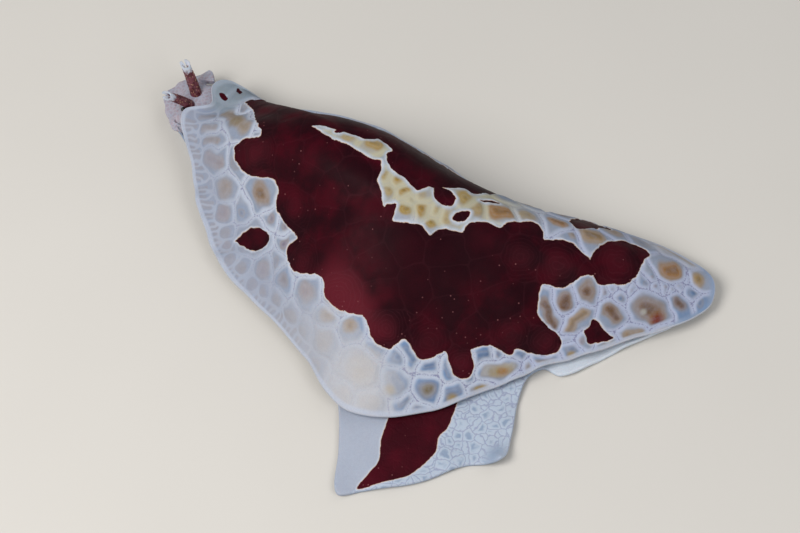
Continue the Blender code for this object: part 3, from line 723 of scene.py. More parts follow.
class PhotoView:
    """The camera of the photograph, in millimetres."""

    def __init__(self):
        level = math.cos(VIEW_ELEVATION)
        back = np.array(
            [math.sin(VIEW_AZIMUTH) * level, -math.cos(VIEW_AZIMUTH) * level, math.sin(VIEW_ELEVATION)]
        )
        right = np.array([math.cos(VIEW_AZIMUTH), math.sin(VIEW_AZIMUTH), 0.0])
        up = np.cross(back, right)
        self.place = np.array(VIEW_TARGET) + VIEW_DISTANCE * back
        aim_right = FRAME_PX[0] / 2 - AXIS_PX[0]
        aim_up = AXIS_PX[1] - FRAME_PX[1] / 2
        forward = -back * FOCAL_PX + right * aim_right + up * aim_up
        self.forward = unit(forward)
        self.up = unit(up - self.forward * (up @ self.forward))
        self.right = np.cross(self.forward, self.up)

    def project(self, points):
        """Pixels across and down, and the depth, of points."""
        ray = np.asarray(points, float) - self.place
        depth = ray @ self.forward
        across = FRAME_PX[0] / 2 + FOCAL_PX * (ray @ self.right) / depth
        down = FRAME_PX[1] / 2 - FOCAL_PX * (ray @ self.up) / depth
        return across, down, depth


class Surface:
    """Points of a surface that pixels of the photograph can be laid on."""

    def __init__(self, points, view):
        self.points = points
        self.across, self.down, self.depth = view.project(points)

    def under_pixels(self, pixels, reach=2.0):
        """The nearest visible point under each pixel."""
        found = []
        for across, down in pixels:
            away = np.hypot(self.across - across, self.down - down)
            close = np.flatnonzero(away < reach)
            if len(close) == 0:
                found.append(int(np.argmin(away)))
                continue
            front = close[self.depth[close] < self.depth[close].min() + 3 * reach]
            found.append(int(front[np.argmin(away[front])]))
        return self.points[found]


def closed_curve(stations, values, at):
    """A smooth closed curve of period 2 pi through values at rising stations."""
    turn = 2 * math.pi
    knots = np.concatenate([stations - turn, stations, stations + turn])
    heights = np.concatenate([values, values, values])
    slopes = np.zeros_like(heights)
    slopes[1:-1] = (heights[2:] - heights[:-2]) / (knots[2:] - knots[:-2])
    at = np.mod(np.asarray(at, float) + math.pi, turn) - math.pi
    index = np.clip(np.searchsorted(knots, at) - 1, 0, len(knots) - 2)
    span = knots[index + 1] - knots[index]
    t = (at - knots[index]) / span
    start = (2 * t**3 - 3 * t**2 + 1) * heights[index]
    start_slope = (t**3 - 2 * t**2 + t) * span * slopes[index]
    end = (3 * t**2 - 2 * t**3) * heights[index + 1]
    end_slope = (t**3 - t**2) * span * slopes[index + 1]
    return start + start_slope + end + end_slope


def ruffle(angle):
    """Small waves along the margins, in millimetres."""
    return sum(size * np.sin(count * angle + phase) for count, size, phase in RUFFLE_WAVES)


class Mantle:
    """The shape of the mantle, over a unit disk whose rim is the margin."""

    def __init__(self):
        margin = np.array(MANTLE_MARGIN)
        spokes = (margin[:, :2] - MANTLE_CENTRE) / MANTLE_HALF
        angles = np.arctan2(spokes[:, 1], spokes[:, 0])
        order = np.argsort(angles)
        self.angles = angles[order]
        self.radii = np.hypot(spokes[:, 0], spokes[:, 1])[order]
        self.heights = margin[order, 2]
        samples = np.arange(720) * math.pi / 360
        self.harmonics = np.fft.rfft(self.radius(samples)) / len(samples)

    def radius(self, angle):
        return closed_curve(self.angles, self.radii, angle)

    def edge_height(self, angle):
        return closed_curve(self.angles, self.heights, angle) + 2 * ruffle(angle)

    def smooth_radius(self, angle):
        """The margin without its notch and lobes."""
        total = np.full_like(angle, self.harmonics[0].real)
        for k in range(1, SMOOTH_HARMONICS + 1):
            wave = self.harmonics[k].real * np.cos(k * angle) - self.harmonics[k].imag * np.sin(k * angle)
            total = total + 2 * wave
        return total

    def plan(self, p, q):
        """Where a point of the disk lies, seen from above."""
        rho = np.hypot(p, q)
        angle = np.arctan2(q, p)
        share = rho**MANTLE_SPREAD
        edge = self.radius(angle) + ruffle(angle + 1.0) / MANTLE_HALF[1]
        reach = rho * (share * edge + (1 - share) * self.smooth_radius(angle))
        x = MANTLE_CENTRE[0] + MANTLE_HALF[0] * reach * np.cos(angle)
        y = MANTLE_CENTRE[1] + MANTLE_HALF[1] * reach * np.sin(angle)
        return x, y

    def top(self, p, q):
        """The upper side without its tubercles."""
        rho = np.hypot(p, q)
        x, y = self.plan(p, q)
        east, north = p - PEAK[0], q - PEAK[1]
        off_centre = PEAK[0] ** 2 + PEAK[1] ** 2
        along = east * PEAK[0] + north * PEAK[1]
        ring = along + np.sqrt(along**2 + (1 - off_centre) * (east**2 + north**2))
        ring = np.clip(ring / (1 - off_centre), 0, 1)
        fall = FALL + FRONT_FALL * np.clip(PEAK[1] - q, 0, 1) ** FRONT_FALL_POWER
        edge = self.edge_height(np.arctan2(q, p)) + MANTLE_LIP
        base = SKIRT_HEIGHT + (edge - SKIRT_HEIGHT) * rho**4
        z = base + (HUMP_HEIGHT - SKIRT_HEIGHT) * (1 - ring**CROWN) ** fall
        away = np.hypot(x - HOLLOW[0], y - HOLLOW[1]) / HOLLOW_RADIUS
        z = z - HOLLOW_DEPTH * np.exp(-(away**2)) * np.clip((1 - rho) * HOLLOW_FADE, 0, 1)
        return x, y, z

    def column(self, angle, scale=1.0):
        """Plan of the column under the mantle, reaching forwards to the neck."""
        front = np.clip(-np.sin(angle), 0, 1) ** 4
        rho = (COLUMN_RING + COLUMN_FRONT * front) * scale
        return self.plan(rho * np.cos(angle), rho * np.sin(angle))


def disk_point(a, b):
    """A point of a square moved into the unit disk."""
    return a * np.sqrt(1 - b * b / 2), b * np.sqrt(1 - a * a / 2)


def foot_edge(angle):
    """The foot's margin beyond each direction of the column."""
    corners = np.array(FOOT_MARGIN)
    steps = np.hypot(*(np.roll(corners, -1, axis=0) - corners).T)
    stations = np.concatenate([[0], np.cumsum(steps)]) / steps.sum() * 2 * math.pi - math.pi
    spokes = np.array(FOOT_SPOKES, float)
    turn = np.mod(np.degrees(angle) - spokes[0, 0], 360) + spokes[0, 0]
    directions = np.append(spokes[:, 0], spokes[0, 0] + 360)
    knots = np.interp(turn, directions, np.append(spokes[:, 1], len(corners)))
    at = np.interp(knots, np.arange(len(corners) + 1), stations)
    x = closed_curve(stations[:-1], corners[:, 0], at)
    y = closed_curve(stations[:-1], corners[:, 1], at)
    return x, y


def outward(x, y):
    """Unit directions out of a closed loop that runs anticlockwise."""
    across = np.roll(y, -1) - np.roll(y, 1)
    along = np.roll(x, 1) - np.roll(x, -1)
    length = np.hypot(across, along)
    return across / length, along / length


def new_piece(name, points, quads, triangles=()):
    """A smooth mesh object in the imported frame, from points in millimetres."""
    places = (np.asarray(points, float) - (ORIGIN[0], ORIGIN[1], 0.0)) * MM
    quads = np.asarray(quads, int).reshape(-1, 4)
    triangles = np.asarray(triangles, int).reshape(-1, 3)
    corners = np.concatenate([quads.ravel(), triangles.ravel()])
    starts = np.concatenate([np.arange(len(quads)) * 4, len(quads) * 4 + np.arange(len(triangles)) * 3])
    mesh = bpy.data.meshes.new(name)
    mesh.vertices.add(len(places))
    mesh.loops.add(len(corners))
    mesh.polygons.add(len(starts))
    mesh.vertices.foreach_set("co", places.ravel())
    mesh.loops.foreach_set("vertex_index", corners)
    mesh.polygons.foreach_set("loop_start", starts)
    mesh.update(calc_edges=True)
    mesh.validate()
    mesh.shade_smooth()
    piece = bpy.data.objects.new(name, mesh)
    bpy.context.scene.collection.objects.link(piece)
    return piece


def give_field(piece, name, values):
    """Stores a number or a colour at each point of a piece."""
    values = np.asarray(values, np.float32)
    if values.ndim == 1:
        field = piece.data.attributes.new(name, "FLOAT", "POINT")
        field.data.foreach_set("value", values)
        return
    field = piece.data.attributes.new(name, "FLOAT_COLOR", "POINT")
    whole = np.hstack([values, np.ones((len(values), 1), np.float32)])
    field.data.foreach_set("color", whole.ravel())


def grid_rim(index):
    """The indices round the outside of a grid, as one loop."""
    return np.concatenate([index[0], index[1:, -1], index[-1, -2::-1], index[-2:0:-1, 0]])


def ripples(points, seed, length, count=7):
    """Smooth seeded noise, about -1 to 1, with waves of a given length in millimetres."""
    draw = np.random.default_rng(seed)
    total = np.zeros(len(points))
    for _ in range(count):
        direction = unit(draw.normal(size=3))
        wave = 2 * math.pi / (length * draw.uniform(0.7, 1.4))
        total += np.sin(points @ direction * wave + draw.uniform(0, 2 * math.pi))
    return total / math.sqrt(count)


def stirred(points, size, seed, length):
    """Points moved about a little by seeded noise in three directions."""
    return points + size * np.stack([ripples(points, seed + k, length) for k in range(3)], -1)


class Skin:
    """The whole skin as one closed surface: mantle, its underside, the column, the foot and its sole."""

    def __init__(self, form):
        columns, rows = TOP_GRID
        a, b = np.meshgrid(np.linspace(-1, 1, columns + 1), np.linspace(-1, 1, rows + 1))
        p, q = disk_point(a, b)
        x, y, z = form.top(p, q)
        self.top = np.stack([x, y, z], -1)
        self.rho = np.hypot(p, q)
        index = np.arange(x.size).reshape(x.shape)
        self.rim = grid_rim(index)
        self.top_quads = np.stack([index[:-1, :-1], index[:-1, 1:], index[1:, 1:], index[1:, :-1]], -1)
        self.top_quads = self.top_quads.reshape(-1, 4)
        self.square = np.stack([(a + 1) / 2, (b + 1) / 2], -1).reshape(-1, 2)
        self.angle = np.arctan2(q.ravel()[self.rim], p.ravel()[self.rim])
        self.rings = []
        self.add_underside(form)
        self.add_column(form)
        self.add_foot(form)
        self.add_sole(form)

    def add_ring(self, x, y, z):
        self.rings.append(np.stack([x, y, np.broadcast_to(z, x.shape)], -1))

    def add_underside(self, form):
        edge = self.top.reshape(-1, 3)[self.rim]
        out_x, out_y = outward(edge[:, 0], edge[:, 1])
        for turn in LIP_TURNS:
            out = MANTLE_LIP * 0.7 * math.sin(math.radians(turn))
            drop = MANTLE_LIP * (1 - math.cos(math.radians(turn)))
            self.add_ring(edge[:, 0] + out * out_x, edge[:, 1] + out * out_y, edge[:, 2] - drop)
        low = self.rings[-1]
        root_x, root_y = form.column(self.angle)
        for k in range(1, UNDER_RINGS + 1):
            share = k / UNDER_RINGS
            x, y = between((low[:, 0], root_x), share), between((low[:, 1], root_y), share)
            self.add_ring(x, y, between((low[:, 2], COLUMN_TOP), share**UNDER_ARCH))

    def add_column(self, form):
        for share in np.linspace(0.1, 1.0, COLUMN_RINGS):
            scale = 1.0 - COLUMN_WAIST * math.sin(math.pi * share) + COLUMN_FLARE * share
            x, y = form.column(self.angle, scale)
            self.add_ring(x, y, between((COLUMN_TOP, COLUMN_BASE), share))

    def add_foot(self, form):
        self.foot_start = len(self.rings)
        root_x, root_y = form.column(self.angle, 1.0 + COLUMN_FLARE)
        edge_x, edge_y = foot_edge(self.angle)
        wave = ruffle(self.angle + 2.0)
        for k in range(1, FOOT_RINGS + 1):
            share = (k / FOOT_RINGS) ** 0.9
            x, y = between((root_x, edge_x), share), between((root_y, edge_y), share)
            z = between((FOOT_EDGE, COLUMN_BASE), (1 - share) ** FOOT_SAG)
            points = np.stack([x, y, np.zeros_like(x)], -1)
            swell = FOOT_SWELL * ripples(points, FOOT_SEED, FOOT_SWELL_LENGTH) * share
            swell = np.maximum(swell + FOOT_RUFFLE * wave * share**6, FOOT_SWELL_LOWEST)
            away = np.hypot(x - FLAP_CORNER[0], y - FLAP_CORNER[1]) / FLAP_CURL_RADIUS
            curl = FLAP_CURL_HEIGHT * np.clip(1 - away, 0, 1) ** 1.6
            self.add_ring(x, y, z + swell + curl)
        edge = self.rings[-1]
        out_x, out_y = outward(edge_x, edge_y)
        for turn in FOOT_LIP_TURNS:
            out = FOOT_LIP * math.sin(math.radians(turn))
            thick = np.minimum(edge[:, 2], FOOT_THICKNESS)
            drop = thick * (1 - math.cos(math.radians(turn))) / 2
            self.add_ring(edge[:, 0] + out * out_x, edge[:, 1] + out * out_y, edge[:, 2] - drop)
        self.foot_end = len(self.rings)

    def add_sole(self, form):
        edge = self.rings[-1]
        root_x, root_y = form.column(self.angle, 1.0)
        for k in range(1, SOLE_RINGS + 1):
            share = k / SOLE_RINGS
            x, y = between((edge[:, 0], root_x), share), between((edge[:, 1], root_y), share)
            self.add_ring(x, y, edge[:, 2] * (1 - share) ** 4)
        for scale in SOLE_SCALES:
            x, y = form.column(self.angle, scale)
            self.add_ring(x, y, 0.0)

    def raise_top(self, heights):
        """Moves the upper side along its own normals."""
        along = np.cross(np.gradient(self.top, axis=1), np.gradient(self.top, axis=0))
        length = np.linalg.norm(along, axis=-1, keepdims=True)
        normals = np.where(length > 1e-9, along / np.maximum(length, 1e-9), (0.0, 0.0, 1.0))
        self.top = self.top + normals * heights.reshape(self.rho.shape)[..., None]

    def points(self):
        middle = self.rings[-1].mean(axis=0, keepdims=True)
        return np.concatenate([self.top.reshape(-1, 3)] + self.rings + [middle])

    def faces(self):
        """Quads of the whole surface and the triangles that close the sole."""
        count = len(self.rim)
        start = self.top.shape[0] * self.top.shape[1]
        loop = self.rim
        quads = [self.top_quads]
        for _ in self.rings:
            following = np.arange(start, start + count)
            quads.append(loop_band(following, loop))
            loop = following
            start += count
        return np.concatenate(quads), loop_fan(start, loop)

    def unwrap(self, piece):
        """Lays the upper side over most of the map and the rings in strips under it."""
        count = len(self.rim)
        tall = len(self.rings)
        base, height = MAP_TOP
        top = np.stack([MAP_START + MAP_SPAN * self.square[:, 1], base + height * self.square[:, 0]], -1)
        corners = [top[self.top_quads]]
        levels = np.interp(np.arange(tall + 1), (0, self.foot_start, self.foot_end, tall), MAP_LEVELS)
        left = MAP_START + MAP_SPAN * np.arange(count) / count
        right = MAP_START + MAP_SPAN * (np.arange(count) + 1) / count
        for k in range(tall):
            low, high = np.full(count, levels[k + 1]), np.full(count, levels[k])
            strip = ((left, low), (right, low), (right, high), (left, high))
            corners.append(np.stack([np.stack(pair, -1) for pair in strip], 1))
        flat = np.concatenate(corners).reshape(-1, 2)
        layer = piece.data.uv_layers.new(name="OFBake")
        everything = np.full((len(piece.data.loops), 2), MAP_REST)
        everything[: len(flat)] = flat
        layer.data.foreach_set("uv", everything.ravel())


def edge_cells(form):
    """Pairs of spots that make small cells across the front left margin."""
    turn = np.radians(np.linspace(*EDGE_CELL_ARC, 400))
    x, y, _ = form.top(np.cos(turn), np.sin(turn))
    run = np.concatenate([[0], np.cumsum(np.hypot(np.diff(x), np.diff(y)))])
    stations = np.arange(0, run[-1], EDGE_CELL_SPACING)
    stray, shift = (np.sin(beat * np.arange(len(stations))) for beat in EDGE_CELL_BEATS)
    stations = stations + EDGE_CELL_STRAY * stray
    angles = np.interp(stations, run, turn)
    outer, inner = EDGE_CELL_PLACES
    inner = inner + EDGE_CELL_SHIFT * shift
    pairs = [form.top(place * np.cos(angles), place * np.sin(angles)) for place in (outer, inner)]
    return [tuple(np.array(pair)[:, k] for pair in pairs) for k in range(len(angles))]


def tubercle_cells(form, surface, top):
    """The tubercles: each one's chain of spots and radii, and its looks.

    Those read from the photograph come first, then those along the margin, then seeded ones in the gaps.
    """
    chains, looks = [], []
    for kind, strength, blue, *seen in TUBERCLES:
        places = surface.under_pixels([(across, down) for across, down, _ in seen])
        chains.append([(place, radius * MM_PER_PX) for place, (_, _, radius) in zip(places, seen)])
        looks.append((kind, strength, blue))
    for pair in edge_cells(form):
        chains.append([(place, EDGE_CELL_RADIUS) for place in pair])
        looks.append(EDGE_CELL_LOOKS)
    taken = [spot for chain in chains for spot in chain]
    draw = random.Random(FILL_SEED)
    flat = top.reshape(-1, 3)
    rows, columns = top.shape[:2]
    for _ in range(FILL_TRIES):
        a, b = draw.random(), draw.random()
        point = flat[int(b * (rows - 1)) * columns + int(a * (columns - 1))]
        radius = draw.uniform(*FILL_RADII)
        if all(math.dist(point, place) > FILL_GAP * (radius + size) for place, size in taken):
            taken.append((point, radius))
            chains.append([(point, radius)])
            kind = draw.choice(FILL_KINDS)
            looks.append((kind, draw.uniform(*FILL_STRENGTHS), draw.uniform(*FILL_BLUES)))
    return chains, looks


def cell_fields(points, chains, softness=0.35, block=4000):
    """For each point: its tubercle, the rounded distance to the border, and its place from 0 at the heart.

    A tubercle is a chain of capsules, and the borders are those of a power diagram between the chains.
    """
    starts, ends, radii, cells = [], [], [], []
    for number, chain in enumerate(chains):
        for (start, first), (end, second) in zip(chain, chain[1:] or chain):
            starts.append(start)
            ends.append(end)
            radii.append((first + second) / 2)
            cells.append(number)
    starts, radii, cells = np.array(starts), np.array(radii), np.array(cells)
    along = np.array(ends) - starts
    length = np.maximum((along**2).sum(-1), 1e-9)
    own = np.empty(len(points), int)
    border = np.empty(len(points))
    core = np.empty(len(points))
    for first in range(0, len(points), block):
        part = points[first : first + block, None]
        share = np.clip(((part - starts) * along).sum(-1) / length, 0, 1)
        foot = starts + share[..., None] * along
        away = ((part - foot) ** 2).sum(-1)
        power = away - radii**2
        nearest = power.argmin(1)
        rows = np.arange(len(part))
        apart = np.linalg.norm(foot - foot[rows, nearest][:, None], axis=-1)
        gaps = (power - power[rows, nearest][:, None]) / (2 * apart + 1e-6)
        gaps[cells[None] == cells[nearest][:, None]] = 1e9
        own[first : first + block] = cells[nearest]
        border[first : first + block] = -softness * np.log(np.exp(-gaps / softness).sum(1) + 1e-12)
        core[first : first + block] = np.sqrt(away[rows, nearest]) / radii[nearest]
    return own, border, core


def rounded_outline(points, steps=6):
    """A closed outline through points with eased corners."""
    corners = np.asarray(points, float)
    before, after = np.roll(corners, 1, axis=0), np.roll(corners, -1, axis=0)
    second = np.roll(corners, -2, axis=0)
    curve = []
    for k in range(steps):
        t = k / steps
        bend = (2 * before - 5 * corners + 4 * after - second) * t**2
        ease = (3 * corners - before - 3 * after + second) * t**3
        curve.append(0.5 * (2 * corners + (after - before) * t + bend + ease))
    return np.stack(curve, 1).reshape(-1, corners.shape[1])


def inside_outline(x, y, outline):
    """Whether points of the plan lie inside a closed outline."""
    inside = np.zeros(len(x), bool)
    low, high = outline.min(0), outline.max(0)
    near = np.flatnonzero((x > low[0]) & (x < high[0]) & (y > low[1]) & (y < high[1]))
    px, py = x[near], y[near]
    hit = np.zeros(len(near), bool)
    for (ax, ay, *_), (bx, by, *_) in zip(outline, np.roll(outline, -1, axis=0)):
        if ay == by:
            continue
        crosses = (ay > py) != (by > py)
        hit ^= crosses & (px < (bx - ax) * (py - ay) / (by - ay) + ax)
    inside[near] = hit
    return inside


def depth_inside(points, outline, reach=DEPTH_REACH):
    """Millimetres inside an outline laid on a surface, below zero outside it."""
    steps = np.linalg.norm(np.roll(outline, -1, axis=0) - outline, axis=1)
    dense = []
    for start, end, length in zip(outline, np.roll(outline, -1, axis=0), steps):
        count = max(1, int(length / OUTLINE_STEP))
        shares = np.arange(count)[:, None] / count
        dense.append(start + (end - start) * shares)
    dense = np.concatenate(dense)
    tree = kdtree.KDTree(len(dense))
    for k, place in enumerate(dense):
        tree.insert(place, k)
    tree.balance()
    low, high = dense.min(0) - reach, dense.max(0) + reach
    near = np.flatnonzero(((points > low) & (points < high)).all(1))
    depth = np.full(len(points), -reach)
    within = inside_outline(points[near, 0], points[near, 1], outline)
    away = np.array([tree.find(point)[2] for point in points[near]])
    depth[near] = np.where(within, np.minimum(away, reach), -np.minimum(away, reach))
    return depth


def laid(surface, pixels):
    """An outline in pixels laid on a surface with eased corners."""
    return rounded_outline(surface.under_pixels(pixels))


def maroon_depth(surface, points, form_points):
    """How deep each point of the upper side lies inside the maroon markings."""
    near = surface.under_pixels(PATCH_NEAR_PX)
    ridge = surface.under_pixels(PATCH_RIDGE_PX)
    far = []
    for x, y in PATCH_FAR_MM:
        away = np.hypot(form_points[:, 0] - x, form_points[:, 1] - y)
        far.append(form_points[int(np.argmin(away))])
    patch = rounded_outline(np.concatenate([near, ridge, np.array(far)]))
    depth = depth_inside(points, patch)
    others = [OVAL_PX, TEARDROP_PX, TRIANGLE_PX, RIDGE_SPOT_PX, RIDGE_OVAL_PX, TAIL_BAR_PX, *FRONT_SPOTS_PX]
    for outline in others:
        depth = np.maximum(depth, depth_inside(points, laid(surface, outline)))
    return depth


def round_areas(surface, points, areas):
    """For each area of x, y and radius in pixels: how many radii off the points lie, and its other values."""
    places = surface.under_pixels([area[:2] for area in areas])
    for place, (_, _, radius, *rest) in zip(places, areas):
        yield np.linalg.norm(points - place, axis=1) / (radius * MM_PER_PX), rest


def haze_field(surface, points):
    """How softly the light lies on each point, from 0 to 1."""
    total = np.zeros(len(points))
    for away, (strength,) in round_areas(surface, points, HAZE_PX):
        total = np.maximum(total, strength * smooth_step(*HAZE_RUN, away))
    return total


def painted_maroon_shading(surface, points):
    """Painted light and shade: how much lighter or darker the maroon is, from soft round areas."""
    total = np.zeros(len(points))
    for away, (strength,) in round_areas(surface, points, PAINTED_MAROON_SHADING_PX):
        total += strength * smooth_step(*SHADING_RUN, away)
    return total


def lobe_field(surface, points):
    """The smooth grey lobe at the front of the mantle."""
    away = np.linalg.norm(points - surface.under_pixels([FRONT_LOBE_PX])[0], axis=1)
    return smooth_step(*LOBE_RUN, away)


def ridge_field(points):
    """Where the pale skin turns cream, along the top of the hump."""
    along = smooth_step(*RIDGE_BEHIND, points[:, 1]) * smooth_step(*RIDGE_FRONT, points[:, 1])
    return along * smooth_step(*RIDGE_LEFT, points[:, 0]) * smooth_step(*RIDGE_RISE, points[:, 2])


def flesh_colours(surface, points, own, core, looks, depth, haze):
    """Colour of the pale skin on the upper side, cell by cell, and of the lines between the cells."""
    heart = np.array([linear_colour(*HEARTS[kind]) for kind, _, _ in looks])[own]
    strength = np.array([look[1] for look in looks])[own]
    blue = np.array([look[2] for look in looks])[own]
    # cells turn blue near their borders, and close to the maroon on the lower left side
    near_edge = smooth_step(*BLUE_SHORE[0], depth) * smooth_step(*BLUE_SHORE[1], depth)
    lower = smooth_step(*BLUE_BEHIND, points[:, 1]) * smooth_step(*BLUE_LEFT, points[:, 0])
    blue = np.maximum(blue * smooth_step(*BLUE_RUN, core), near_edge * lower * BLUE_SHORE_COVERS)
    ridge = ridge_field(points)
    rim = blended(blended(CELL_PALE, CELL_CREAM, RIM_CREAM * ridge), CELL_BLUE, blue)
    # each cell has a soft halo, a coloured heart with a darker middle, and a faint ring
    halo = smooth_step(*HALO_RUN, core) * (HALO_SHARES[0] + HALO_SHARES[1] * strength)
    halo = halo * (1 - HALO_LESS_BLUE * blue)
    colour = blended(rim, blended(CELL_BEIGE, CELL_CREAM, ridge), halo)
    inner = core - HEART_RIDGE_WIDER * ridge + HEART_BLUE_NARROWER * blue
    colour = blended(colour, heart, smooth_step(*HEART_RUN, inner) * strength)
    colour = colour * (1 - MIDDLE_DARKER * smooth_step(*MIDDLE_RUN, core) * strength)[:, None]
    place, width, share = CELL_RING
    ring = np.exp(-(((core - place) / width) ** 2)) * share * strength
    colour = blended(colour, LINE_WHITE, ring)
    for away, (kind, mark) in round_areas(surface, points, MARKS):
        colour = blended(colour, linear_colour(*HEARTS[kind]), mark * smooth_step(*MARK_RUN, away))
    # painted soft light on the left side, the grey front lobe and the blue shore of the ridge lie over the
    # cells
    painted_light = blended(HAZE_COOL, HAZE_WARM, smooth_step(*PAINTED_LIGHT_BEHIND, points[:, 1]))
    colour = blended(colour, painted_light, HAZE_COVERS[0] * haze)
    lobe = lobe_field(surface, points)
    colour = blended(colour, LOBE_GREY, LOBE_COVERS[0] * lobe)
    line = blended(LINE_WHITE, LINE_VIOLET, VIOLET_COVERS * smooth_step(*VIOLET_BEHIND, points[:, 1]))
    line = blended(blended(line, LINE_CREAM, ridge), LOBE_GREY, LOBE_COVERS[1] * lobe)
    shore = SHORE_COVERS * (smooth_step(*SHORE_RUN, depth) * ridge)
    colour = blended(colour, SHORE_BLUE, shore)
    line = blended(line, SHORE_BLUE, shore)
    return colour, blended(line, painted_light, HAZE_COVERS[1] * haze)


class Shade:
    """A node material written with short calls."""

    def __init__(self, name):
        self.material = bpy.data.materials.new(name)
        self.material.use_nodes = True
        self.tree = self.material.node_tree
        self.shader = self.tree.nodes["Principled BSDF"]

    def node(self, kind, **settings):
        made = self.tree.nodes.new(kind)
        for key, value in settings.items():
            setattr(made, key, value)
        return made

    def fill(self, made, values):
        """Sets a node's inputs to plain values or links them to other nodes' outputs."""
        for key, value in values.items():
            if hasattr(value, "is_linked"):
                self.tree.links.new(value, made.inputs[key])
            else:
                made.inputs[key].default_value = value

    def field(self, name, output="Fac"):
        return self.node("ShaderNodeAttribute", attribute_name=name).outputs[output]

    def place(self):
        return self.node("ShaderNodeTexCoord").outputs["Object"]

    def math(self, operation, *values):
        made = self.node("ShaderNodeMath", operation=operation)
        self.fill(made, dict(enumerate(values)))
        return made.outputs[0]

    def times(self, first, second):
        return self.math("MULTIPLY", first, second)

    def scaled(self, value, factor, offset):
        return self.math("MULTIPLY_ADD", value, factor, offset)

    def step(self, name, value):
        """An eased change from 0 to 1 over a named run."""
        low, high = RUNS[name]
        made = self.node("ShaderNodeMapRange", interpolation_type="SMOOTHSTEP")
        self.fill(made, {"Value": value, "From Min": low, "From Max": high})
        return made.outputs[0]

    def mix(self, share, first, second):
        made = self.node("ShaderNodeMix", data_type="RGBA")
        self.fill(made, {0: share, 6: first, 7: second})
        return made.outputs[2]

    def layer(self, name, share, under, over):
        """A colour laid over another as strongly as its layer shows."""
        return self.mix(self.times(share, LAYERS[name]), under, over)

    def texture(self, kind, name, place, inputs, **settings):
        """A texture whose features are as wide as its name says."""
        made = self.node(kind, **settings)
        place = self.place() if place is None else place
        self.fill(made, {"Vector": place, "Scale": PER_METRE / SIZES[name], **inputs})
        return made.outputs

    def noise(self, name, detail=2.0, roughness=0.5):
        inputs = {"Detail": detail, "Roughness": roughness}
        return self.texture("ShaderNodeTexNoise", name, None, inputs)["Fac"]

    def cells(self, name, feature="F1", place=None):
        return self.texture("ShaderNodeTexVoronoi", name, place, {}, feature=feature)["Distance"]

    def net(self, name, amount):
        """How far each place lies from a net's lines, with the net moved about by noise."""
        moved = self.texture("ShaderNodeTexNoise", name + " warp", None, {})["Color"]
        shift = self.node("ShaderNodeVectorMath", operation="MULTIPLY_ADD")
        self.fill(shift, {0: moved, 1: (amount * MM,) * 3, 2: self.place()})
        return self.cells(name, "DISTANCE_TO_EDGE", shift.outputs[0])

    def bump(self, name, height, normal=None):
        """A named bump with a height field of 0 to 1."""
        depth, strength = BUMPS[name]
        made = self.node("ShaderNodeBump")
        self.fill(made, {"Strength": strength, "Distance": depth * MM, "Height": height})
        if normal is not None:
            self.fill(made, {"Normal": normal})
        return made.outputs[0]

    def finish(self, colour, roughness, normal=None, flesh=0.0, coat=0.0, gloss=0.22):
        """Fills the shader, with flesh for how much light goes in and coat for the wet film."""
        settings = {
            "Base Color": colour,
            "Roughness": roughness,
            "Subsurface Weight": flesh,
            "Subsurface Radius": SCATTER_RADIUS,
            "Subsurface Scale": SCATTER_SCALE,
            "Specular IOR Level": gloss,
            "Coat Weight": coat,
            "Coat Roughness": COAT_ROUGHNESS,
        }
        self.fill(self.shader, settings)
        if normal is not None:
            self.fill(self.shader, {"Normal": normal})
        return self.material


def maroon_skin(shade, wobble):
    """Dark smooth skin with faint rings round its tubercles and a few painted glints of wet highlights."""
    cloud = shade.step("cloud", shade.noise("cloud", detail=4.0))
    maroon = shade.mix(cloud, MAROON_DARK, MAROON_MID)
    tone = shade.field("tone")
    # painted light and painted shade on the maroon, from the tone field
    maroon = shade.layer("lighter", shade.step("lighter", tone), maroon, MAROON_LIT)
    maroon = shade.layer("darker", shade.step("darker", tone), maroon, MAROON_DARK)
    ringed = shade.field("ringed")
    core = shade.field("core")
    maroon = shade.layer("glow", shade.times(shade.step("glow", core), ringed), maroon, MAROON_GLOW)
    drift = shade.scaled(shade.noise("drift"), RING_DRIFT, shade.times(wobble, RING_WOBBLE))
    wave = shade.math("SINE", shade.scaled(core, RING_TURNS, drift))
    rings = shade.times(shade.step("rings", wave), shade.times(ringed, shade.noise("rings")))
    maroon = shade.layer("rings", rings, maroon, MAROON_LIGHT)
    veins = shade.times(shade.step("veins", shade.field("border")), shade.noise("veins"))
    maroon = shade.layer("veins", veins, maroon, MAROON_LIGHT)
    # tiny painted highlights of the wet skin, where a noise lets them show
    lit = shade.times(shade.step("glints", shade.cells("glints")), shade.step("lit", shade.noise("lit")))
    return shade.layer("glints", lit, maroon, MAROON_GLINT)


def pale_skin(shade, wobble, net):
    """Cells with violet grooves between them, and netting on the foot."""
    border = shade.scaled(wobble, BORDER_WOBBLE, shade.field("border"))
    netting = shade.field("netting")
    grooved = shade.field("grooved")
    flesh = shade.field("flesh", "Color")
    line = shade.field("line", "Color")
    mottle = shade.step("mottle", shade.noise("mottle", detail=4.0))
    flesh = shade.layer("mottle", mottle, flesh, line)
    flesh = shade.layer("grain", shade.step("grain", shade.noise("grain")), flesh, GROOVE_VIOLET)
    bank = shade.times(shade.step("bank", border), shade.field("contrast"))
    flesh = shade.layer("bank", bank, flesh, line)
    beads = shade.times(shade.step("granules", shade.cells("granules")), shade.step("beads", border))
    flesh = shade.layer("beads", shade.times(beads, grooved), flesh, GROOVE_VIOLET)
    broken = shade.step("breaks", shade.noise("breaks", detail=1.0))
    groove = shade.times(shade.step("groove", border), shade.times(broken, grooved))
    flesh = shade.layer("groove", groove, flesh, GROOVE_VIOLET)
    for name, colour in (("net bank", NET_WHITE), ("net line", NET_LILAC)):
        flesh = shade.layer(name, shade.times(shade.step(name, net), netting), flesh, colour)
    return flesh


